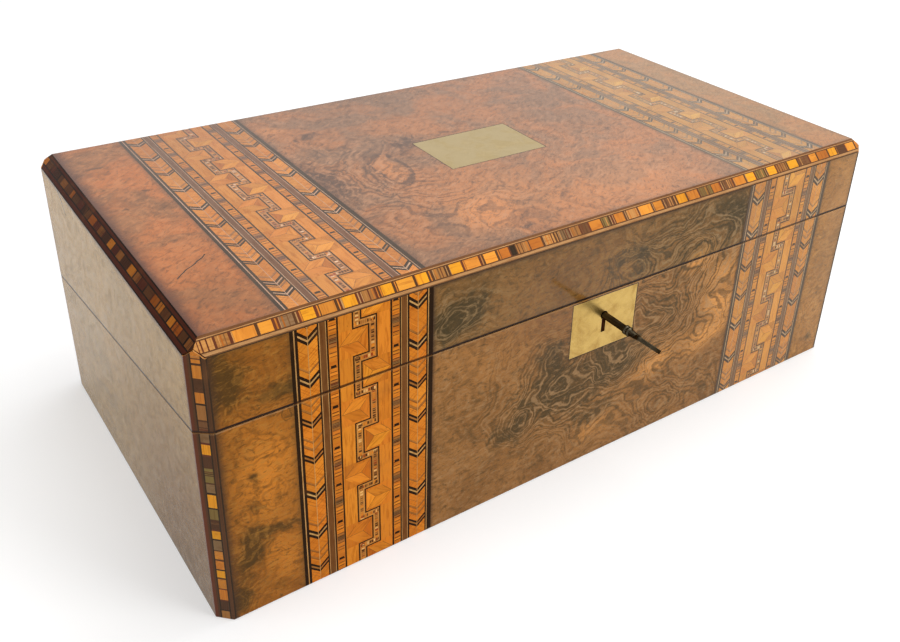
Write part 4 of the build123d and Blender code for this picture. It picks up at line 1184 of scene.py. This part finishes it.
def corner_band(name, part, x_side, y_side, seed):
    """Banding of one upright corner of the base or the lid, from the long face round to the end."""
    draw = random.Random(seed)
    wide = CHAMFER_WIDTH + 2 * VENEER
    folds = [0.0, VENEER, VENEER + CHAMFER_WIDTH / 2, VENEER + CHAMFER_WIDTH, wide]
    run = [
        (0.0, -CHAMFER - VENEER, 0.0),
        (VENEER, -CHAMFER, 0.0),
        (VENEER + CHAMFER_WIDTH, 0.0, CHAMFER),
        (wide, 0.0, CHAMFER + VENEER),
    ]

    def across(u):
        for (u0, x0, y0), (u1, x1, y1) in zip(run, run[1:]):
            if u <= u1 + 1e-6:
                share = (u - u0) / (u1 - u0)
                return x0 + share * (x1 - x0), y0 + share * (y1 - y0)
        return run[-1][1:]

    def seam_at(y):
        half_gap = HALF_GAP if part == "lid" else -HALF_GAP
        return HINGE_Z + SEAM_FALL * (HINGE_Y - y) + half_gap / math.cos(math.atan(SEAM_FALL))

    def place_of(u, depth):
        x, y = across(u)
        if depth:
            share = u / wide
            x, y = -(CHAMFER + VENEER) * (1 - share), (CHAMFER + VENEER) * share
        return x_side * (HALF_WIDTH + x), y_side * (HALF_DEPTH - y)

    seam = [(u, seam_at(place_of(u, 0)[1])) for u in folds]
    if part == "base":
        outline = [(wide, FRONT_LOW), (0.0, FRONT_LOW)] + seam
        start, end = FRONT_LOW, 101.0
    else:
        peak = FRONT_TOP + CHAMFER / 2
        outline = seam[::-1] + [(u, peak if u == folds[2] else FRONT_TOP) for u in folds]
        start, end = 69.0, 138.0
    tiles = [(box_tile(-1, 12, start - 2, end + 2), "brown", 90)]
    for shape, wood, turn in mosaic_run(start, end + 2, *CORNER_BLOCKS, [(FAR, CORNER_RUN)], draw):
        tiles.append(([(v, u) for u, v in shape], wood, 90 - turn))
    for shape, wood, turn in stringing(start - 2, end + 2, CORNER_LINES):
        tiles.append(([(v, u) for u, v in shape], wood, 90))
    mirrored = x_side * y_side > 0

    def spot(u, v, depth):
        x, y = place_of(u, depth)
        return (x, y, v)

    return inlaid_sheet(name, outline, tiles, spot, seed, edge_woods, mirrored, folds[1:-1])


BOX_CORNERS = ((-1, -1, "front_left"), (1, -1, "front_right"), (1, 1, "back_right"), (-1, 1, "back_left"))
for part in ("base", "lid"):
    for x_side, y_side, label in BOX_CORNERS:
        seed = 61 + 2 * x_side + y_side + (10 if part == "lid" else 0)
        band = corner_band(f"{part}_corner_banding_{label}", part, x_side, y_side, seed)
        fit(band, f"{part}_corner_bands", part)

# Brass of the lid and the front. Cartouche and keyhole plate are cut from 1 mm sheet, let in flush,
# pinned and scoured by long polishing; the fittings inside are rolled brass that has gone brown.
metal, given, made = new_group(
    "handled metal",
    {"Place": (0, 0, 0), "Run": (0.05, 1.0, 1.0), "Other run": (1.0, 0.06, 1.0)},
    ("Scratches", "Tarnish", "Pits"),
)
long_marks = speckle(metal, vec(metal, "MULTIPLY", given["Place"], given["Run"]), 2.6, 4.0, 0.65)
cross_marks = speckle(metal, vec(metal, "MULTIPLY", given["Place"], given["Other run"]), 3.1, 3.0, 0.6)
marks = calc(metal, "MAXIMUM", ramp(metal, long_marks, 0.52, 0.68), ramp(metal, cross_marks, 0.6, 0.72))
metal.links.new(marks, made["Scratches"])
metal.links.new(ramp(metal, speckle(metal, given["Place"], 0.09, 5.0, 0.65, 0.6), 0.38, 0.7), made["Tarnish"])
metal.links.new(ramp(metal, speckle(metal, given["Place"], 0.7, 3.0, 0.7), 0.68, 0.75), made["Pits"])


def edge_of(tree, radius):
    """One where the surface turns sharply within a few tenths of a millimetre."""
    rounded = node(tree, "Bevel", {"Radius": radius * MM}, samples=4).outputs[0]
    true = node(tree, "NewGeometry").outputs["Normal"]
    return ramp(tree, vec(tree, "DOT_PRODUCT", rounded, true), 0.99, 0.86)


def metal_finish(name, clean, brown, worn_and_glint_colour, smooth, dull, turn=0.0, amount=0.6, **constants):
    """Metal with scratches, tarnish, pits, and lighter edges: rubbed bright, and on the key a painted
    highlight.
    """
    material, tree, place, shader = finish(name, Metallic=1.0, **constants)
    turned = node(tree, "VectorRotate", {"Vector": place, "Angle": math.radians(turn)}).outputs[0]
    state = use(tree, metal, Place=turned)
    colour = tinged(tree, state["Tarnish"], amount, clean, brown)
    colour = tinged(tree, state["Scratches"], 0.35, colour, worn_and_glint_colour)
    colour = tinged(tree, state["Pits"], 0.7, colour, scaled(tree, colour, 0.3))
    # lighter edges: rubbed metal, and on the key a painted highlight
    colour = tinged(tree, edge_of(tree, 0.3), 0.6, colour, worn_and_glint_colour)
    scoured = calc(tree, "MULTIPLY", state["Scratches"], 0.12)
    rough = calc(tree, "ADD", ramp(tree, state["Tarnish"], 0.0, 1.0, smooth, dull), scoured)
    hollows = calc(tree, "ADD", calc(tree, "MULTIPLY", state["Scratches"], 0.4), state["Pits"])
    height = calc(tree, "SUBTRACT", 0.0, hollows)
    surface(tree, shader, colour, rough, height, 0.35, 0.03)
    return material


CARTOUCHE = [(0.46, 0.35, 0.17, 1), (0.34, 0.25, 0.11, 1), (0.54, 0.43, 0.25, 1)]
PLATE = [(0.57, 0.38, 0.11, 1), (0.37, 0.215, 0.05, 1), (0.72, 0.55, 0.26, 1)]
FITTINGS = [(0.58, 0.36, 0.13, 1), (0.24, 0.13, 0.05, 1), (0.72, 0.52, 0.24, 1)]
cartouche_brass = metal_finish("brass of the cartouche", *CARTOUCHE, 0.3, 0.42, 24.0)
plate_brass = metal_finish("brass of the keyhole plate", *PLATE, 0.28, 0.42, -30.0, 0.85)
inner_brass = metal_finish("brass of the fittings", *FITTINGS, 0.22, 0.46, 5.0, 0.8)
dress(cartouche_brass, "cartouche")
dress(plate_brass, "escutcheon")

# Lock, key and staples. Brass lock let into the front board, steel bolt, steel pipe key gone nearly
# black from handling, and a brass link plate with two staples in the lid.
KEY = [(0.05, 0.042, 0.028, 1), (0.02, 0.013, 0.007, 1), (0.2, 0.16, 0.09, 1)]
BOLT = [(0.3, 0.28, 0.25, 1), (0.11, 0.075, 0.05, 1), (0.5, 0.47, 0.42, 1)]
key_steel = metal_finish("steel of the key", *KEY, 0.28, 0.5, 90.0, 0.9, Specular_Tint=(0.35, 0.28, 0.2, 1))
bolt_steel = metal_finish("steel of bolt and pins", *BOLT, 0.25, 0.45)
dress(key_steel, "key")
dress(bolt_steel, "lock_bolt", "hinge_pins", "base_flap_pins", "lid_flap_pins")
dress(inner_brass, "lock_case", "lock_cap_plate", "link_plate")

# Hinges and screws. Two butt hinges at the back and four small ones under the flaps, all of brass,
# with slotted countersunk screws turned in by hand, so that no two slots stand alike.
dress(inner_brass, "base_hinge_leaves", "lid_hinge_leaves", "lid_flap_catch")
for half in ("base", "lid"):
    dress(inner_brass, f"{half}_flap_fixed_leaves", f"{half}_flap_moving_leaves")
SLOPE = math.atan(SEAM_FALL)
UP_SLOPE = Vector((0, -math.cos(SLOPE), math.sin(SLOPE)))
OFF_SLOPE = Vector((0, math.sin(SLOPE), math.cos(SLOPE)))


def on_slope(x, reach, level):
    """Place on the sloping joint, counted from the hinge axis, in millimetres."""
    return Vector((x, HINGE_Y, HINGE_Z)) + UP_SLOPE * reach + OFF_SLOPE * level


def screws(name, body, radius, depth, facing, spots, seed):
    """Slotted countersunk heads with their tops at the given places. A head tapers to half its width,
    and its slot is cut to less than half its depth."""
    draw = random.Random(seed)
    slot, cut, foot, steps = radius * 0.24, depth * 0.4, 0.5, 9
    first = math.asin(slot / radius)
    sweep = [first + (math.pi - 2 * first) * k / steps for k in range(steps + 1)]
    sweep += [angle + math.pi for angle in sweep]
    count, last = len(sweep), steps
    heads = bmesh.new()
    spread = facing.to_track_quat("Z", "Y").to_matrix().to_4x4()
    for spot in spots:
        seat = Matrix.Translation(spot) @ spread @ Matrix.Rotation(draw.uniform(0, math.pi), 4, "Z")
        rim = [Vector((radius * math.cos(angle), radius * math.sin(angle), 0)) for angle in sweep]
        end = [Vector((point.x * foot, point.y * foot, -depth)) for point in rim]
        top = [heads.verts.new(seat @ point * MM) for point in rim]
        low = [heads.verts.new(seat @ point * MM) for point in end]
        mouths = (0, last, last + 1, count - 1)
        floor = {k: heads.verts.new(seat @ rim[k].lerp(end[k], cut / depth) * MM) for k in mouths}
        heads.faces.new(top[: last + 1])
        heads.faces.new(top[last + 1 :])
        heads.faces.new([floor[k] for k in (count - 1, 0, last, last + 1)])
        heads.faces.new([top[0], top[last], floor[last], floor[0]])
        heads.faces.new([top[last + 1], top[count - 1], floor[count - 1], floor[last + 1]])
        for k in range(count):
            after = (k + 1) % count
            if k in (last, count - 1):
                heads.faces.new([floor[k], low[k], low[after], floor[after]])
                continue
            side = [top[k]] + ([floor[k]] if k in floor else []) + [low[k], low[after]]
            heads.faces.new(side + ([floor[after]] if after in floor else []) + [top[after]])
        heads.faces.new(low)
    bmesh.ops.recalc_face_normals(heads, faces=heads.faces)
    mesh = bpy.data.meshes.new(name)
    heads.to_mesh(mesh)
    heads.free()
    mesh.materials.append(inner_brass)
    piece = bpy.data.objects.new(name, mesh)
    bpy.context.scene.collection.objects.link(piece)
    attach(piece, body)


HINGE_MIDDLE = 125.0
HINGE_X = [side * HINGE_MIDDLE + off for side in (-1, 1) for off in (-15.0, 0.0, 15.0)]
LEAF_X = [side * HINGE_MIDDLE + off for side in (-1, 1) for off in (-7.0, 7.0)]
LOCK_X = [-34.0, 45.0]
PROUD, FLAP_SUNK = 0.04, 2.2
HINGE_REACH, LOCK_REACH, FLAP_HINGE_REACH, LEAF_MIDDLE = 6.8, 206.0, 25.62, 5.8
for half, side in (("base", -1), ("lid", 1)):
    facing = OFF_SLOPE * -side
    level = side * (HALF_GAP - PROUD)
    spots = [on_slope(x, HINGE_REACH, level) for x in HINGE_X]
    screws(f"{half}_hinge_screws", half, 2.0, 1.3, facing, spots, 3 + side)
    spots = [on_slope(x, LOCK_REACH, level) for x in LOCK_X]
    screws(f"{half}_lock_screws", half, 2.1, 1.4, facing, spots, 13 + side)
    for owner, away, seed in ((half, -LEAF_MIDDLE, 23), (f"{half}_flap", LEAF_MIDDLE, 33)):
        spots = [on_slope(x, FLAP_HINGE_REACH + away, side * (FLAP_SUNK - PROUD)) for x in LEAF_X]
        screws(f"{owner}_leaf_screws", owner, 1.2, 0.7, facing, spots, seed + side)

# Writing surface. Two mahogany flaps covered in dark green skiver, with a gilt fillet and a tooled
# roll round each, on rails and ledges glued to the case.
POLISHED = [(0.25, 0.085, 0.03, 1), (0.14, 0.04, 0.014, 1), (0.05, 0.014, 0.006, 1)]
UNPOLISHED = [(0.27, 0.12, 0.06, 1), (0.17, 0.068, 0.032, 1), (0.07, 0.025, 0.012, 1)]
polished = board_finish("polished mahogany", *POLISHED, Specular_IOR_Level=0.5)
plain = board_finish("unpolished mahogany", *UNPOLISHED, spacing=6.0, Specular_IOR_Level=0.2)
dress(polished, "base_flap_board", "lid_flap_board", "base_hinge_rail", "lid_hinge_rail")
dress(plain, "base_ledges", "lid_ledges")


def leather_finish(name, low, high):
    """Tooled leather with its gilt lines counted in from the edges of the piece."""
    material, tree, place, shader = finish(name, Specular_IOR_Level=0.35)
    to_low = vec(tree, "ABSOLUTE", vec(tree, "SUBTRACT", place, low))
    to_high = vec(tree, "ABSOLUTE", vec(tree, "SUBTRACT", high, place))
    near = node(tree, "SeparateXYZ", {0: vec(tree, "MINIMUM", to_low, to_high)}).outputs
    edge = calc(tree, "MINIMUM", near["X"], near["Y"])
    along = calc(tree, "MAXIMUM", near["X"], near["Y"])
    pebbles = node(tree, "TexVoronoi", {"Vector": place, "Scale": 0.9}, feature="DISTANCE_TO_EDGE")
    creases = ramp(tree, pebbles.outputs["Distance"], 0.14, 0.02)
    rubbed = ramp(tree, speckle(tree, place, 0.02, 5.0, 0.65), 0.45, 0.72)
    stains = ramp(tree, speckle(tree, place, 0.045, 4.0, 0.6, 1.5), 0.68, 0.74)
    colour = tinged(tree, rubbed, 0.6, (0.022, 0.06, 0.035, 1), (0.075, 0.105, 0.05, 1))
    colour = tinged(tree, creases, 0.5, colour, (0.01, 0.02, 0.013, 1))
    colour = tinged(tree, stains, 0.7, colour, (0.008, 0.01, 0.014, 1))
    beads = calc(tree, "SINE", calc(tree, "MULTIPLY", along, math.tau / 3.2))
    wave = calc(tree, "ABSOLUTE", calc(tree, "SUBTRACT", edge, calc(tree, "MULTIPLY_ADD", beads, 0.8, 8.5)))
    gilt = ramp(tree, wave, 0.45, 0.25)
    for distance, width in ((4.0, 0.35), (5.2, 0.2), (11.8, 0.2), (13.0, 0.35)):
        line = calc(tree, "ABSOLUTE", calc(tree, "SUBTRACT", edge, distance))
        gilt = calc(tree, "MAXIMUM", gilt, ramp(tree, line, width + 0.1, width - 0.1))
    kept = ramp(tree, speckle(tree, place, 0.5, 4.0, 0.7), 0.62, 0.48)
    gilt = calc(tree, "MULTIPLY", gilt, kept)
    colour = blended(tree, gilt, colour, (0.62, 0.42, 0.13, 1))
    tree.links.new(gilt, shader.inputs["Metallic"])
    bare = ramp(tree, rubbed, 0.0, 1.0, 0.55, 0.42)
    rough = calc(tree, "SUBTRACT", bare, calc(tree, "MULTIPLY", gilt, 0.12))
    height = calc(tree, "SUBTRACT", calc(tree, "MULTIPLY", creases, -0.5), calc(tree, "MULTIPLY", gilt, 0.6))
    surface(tree, shader, colour, rough, height, 0.6, 0.12)
    return material


for half in ("base", "lid"):
    low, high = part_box(f"{half}_flap_leather")
    leather = leather_finish(f"leather of the {half} flap", tuple(low / MM), tuple(high / MM))
    dress(leather, f"{half}_flap_leather")

# Ink and pen section at the front of the base. Thin mahogany divisions and floors, a hollowed pen
# tray, and two square glass inkwells with brass caps, stained by ink that has dried on them.
dress(polished, "ink_partitions", "pen_tray")
dress(plain, "well_floors")
glass, tree, place, shader = finish("glass of the inkwells", Transmission_Weight=1.0, IOR=1.5)
dried = ramp(tree, speckle(tree, place, 0.12, 5.0, 0.65, 0.8), 0.58, 0.72)
colour = blended(tree, dried, (0.82, 0.92, 0.88, 1), (0.06, 0.07, 0.16, 1))
rough = ramp(tree, speckle(tree, place, 0.3, 3.0, 0.6), 0.4, 0.75, 0.03, 0.22)
surface(tree, shader, colour, rough, speckle(tree, place, 0.08, 2.0), 0.2, 0.1)
dress(glass, "inkwells")
dress(inner_brass, "inkwell_caps")

# The stage, no part of the slope. A plain pale floor under a white sky, soft lamps above, in front and
# at the left, and the camera worked out from the corners of the box in the photo.
def seen_directly(tree):
    """One for what the camera sees, mirrored or through glass too, and none for the light all round."""
    path = node(tree, "LightPath").outputs
    mirrored = calc(tree, "MAXIMUM", path["Is Glossy Ray"], path["Is Transmission Ray"])
    return calc(tree, "MAXIMUM", path["Is Camera Ray"], mirrored)


stage_floor = bpy.data.meshes.new("floor")
FAR_OFF = 6
corners = [(x, y, 0) for x, y in box_tile(-FAR_OFF, FAR_OFF, -FAR_OFF, FAR_OFF)]
stage_floor.from_pydata(corners, [], [(0, 1, 2, 3)])
floor = bpy.data.objects.new("floor", stage_floor)
bpy.context.scene.collection.objects.link(floor)
matt = {"Roughness": 0.9, "Specular_IOR_Level": 0.1}
pale, tree, _, shader = finish("pale floor", Base_Color=(0.6, 0.6, 0.6, 1), **matt)
GLOW = 0.42
glow = calc(tree, "MULTIPLY", seen_directly(tree), GLOW)
lit = node(tree, "Emission", {"Color": (1, 1, 1, 1), "Strength": glow})
both = node(tree, "AddShader", {0: shader.outputs[0], 1: lit.outputs[0]})
tree.links.new(both.outputs[0], tree.nodes["Material Output"].inputs["Surface"])
stage_floor.materials.append(pale)

world = bpy.data.worlds.new("studio")
bpy.context.scene.world = world
world.use_nodes = True
sky = world.node_tree
light = sky.nodes["Background"]
light.inputs["Color"].default_value = (1, 1, 1, 1)
light.inputs["Strength"].default_value = GLOW
shown = node(sky, "Background", {"Color": (1, 1, 1, 1), "Strength": 1.0})
both = node(sky, "MixShader", {0: seen_directly(sky), 1: light.outputs[0], 2: shown.outputs[0]})
sky.links.new(both.outputs[0], sky.nodes["World Output"].inputs["Surface"])

for name, place, size, power in (
    ("lamp above", (0.5, 0.1, 1.9), 1.4, 26),
    ("lamp in front", (1.3, -1.9, 1.2), 1.2, 33),
    ("lamp at the left", (-2.2, 0.3, 1.1), 2.0, 18),
):
    lamp = bpy.data.lights.new(name, "AREA")
    lamp.shape = "SQUARE"
    lamp.size = size
    lamp.energy = power
    holder = bpy.data.objects.new(name, lamp)
    holder.location = place
    holder.visible_camera = False
    aim = Vector((0, 0, 0.05)) - Vector(place)
    holder.rotation_euler = aim.to_track_quat("-Z", "Y").to_euler()
    bpy.context.scene.collection.objects.link(holder)

FOCAL, CENTRE_X, CENTRE_Y, WIDE, TALL = 983.8, 493.6, 244.4, 900, 642
azimuth, elevation, roll = 0.6461, 0.4864, 0.0463
level = math.cos(elevation)
ahead = Vector((math.sin(azimuth) * level, math.cos(azimuth) * level, -math.sin(elevation)))
right = ahead.cross(Vector((0, 0, 1))).normalized()
up = right.cross(ahead)
right, up = right * math.cos(roll) + up * math.sin(roll), up * math.cos(roll) - right * math.sin(roll)
lens = bpy.data.cameras.new("camera")
lens.sensor_width = 36.0
lens.lens = FOCAL * lens.sensor_width / WIDE
lens.shift_x = (WIDE / 2 - CENTRE_X) / WIDE
lens.shift_y = (CENTRE_Y - TALL / 2) / WIDE
camera = bpy.data.objects.new("camera", lens)
bpy.context.scene.collection.objects.link(camera)
turned = Matrix((right, up, -ahead)).transposed()
CAMERA_PLACE = Vector((-0.28897, -0.40261, 0.34307))
camera.matrix_world = Matrix.Translation(CAMERA_PLACE) @ turned.to_4x4()
bpy.context.scene.camera = camera
bpy.context.scene.view_settings.view_transform = "Standard"
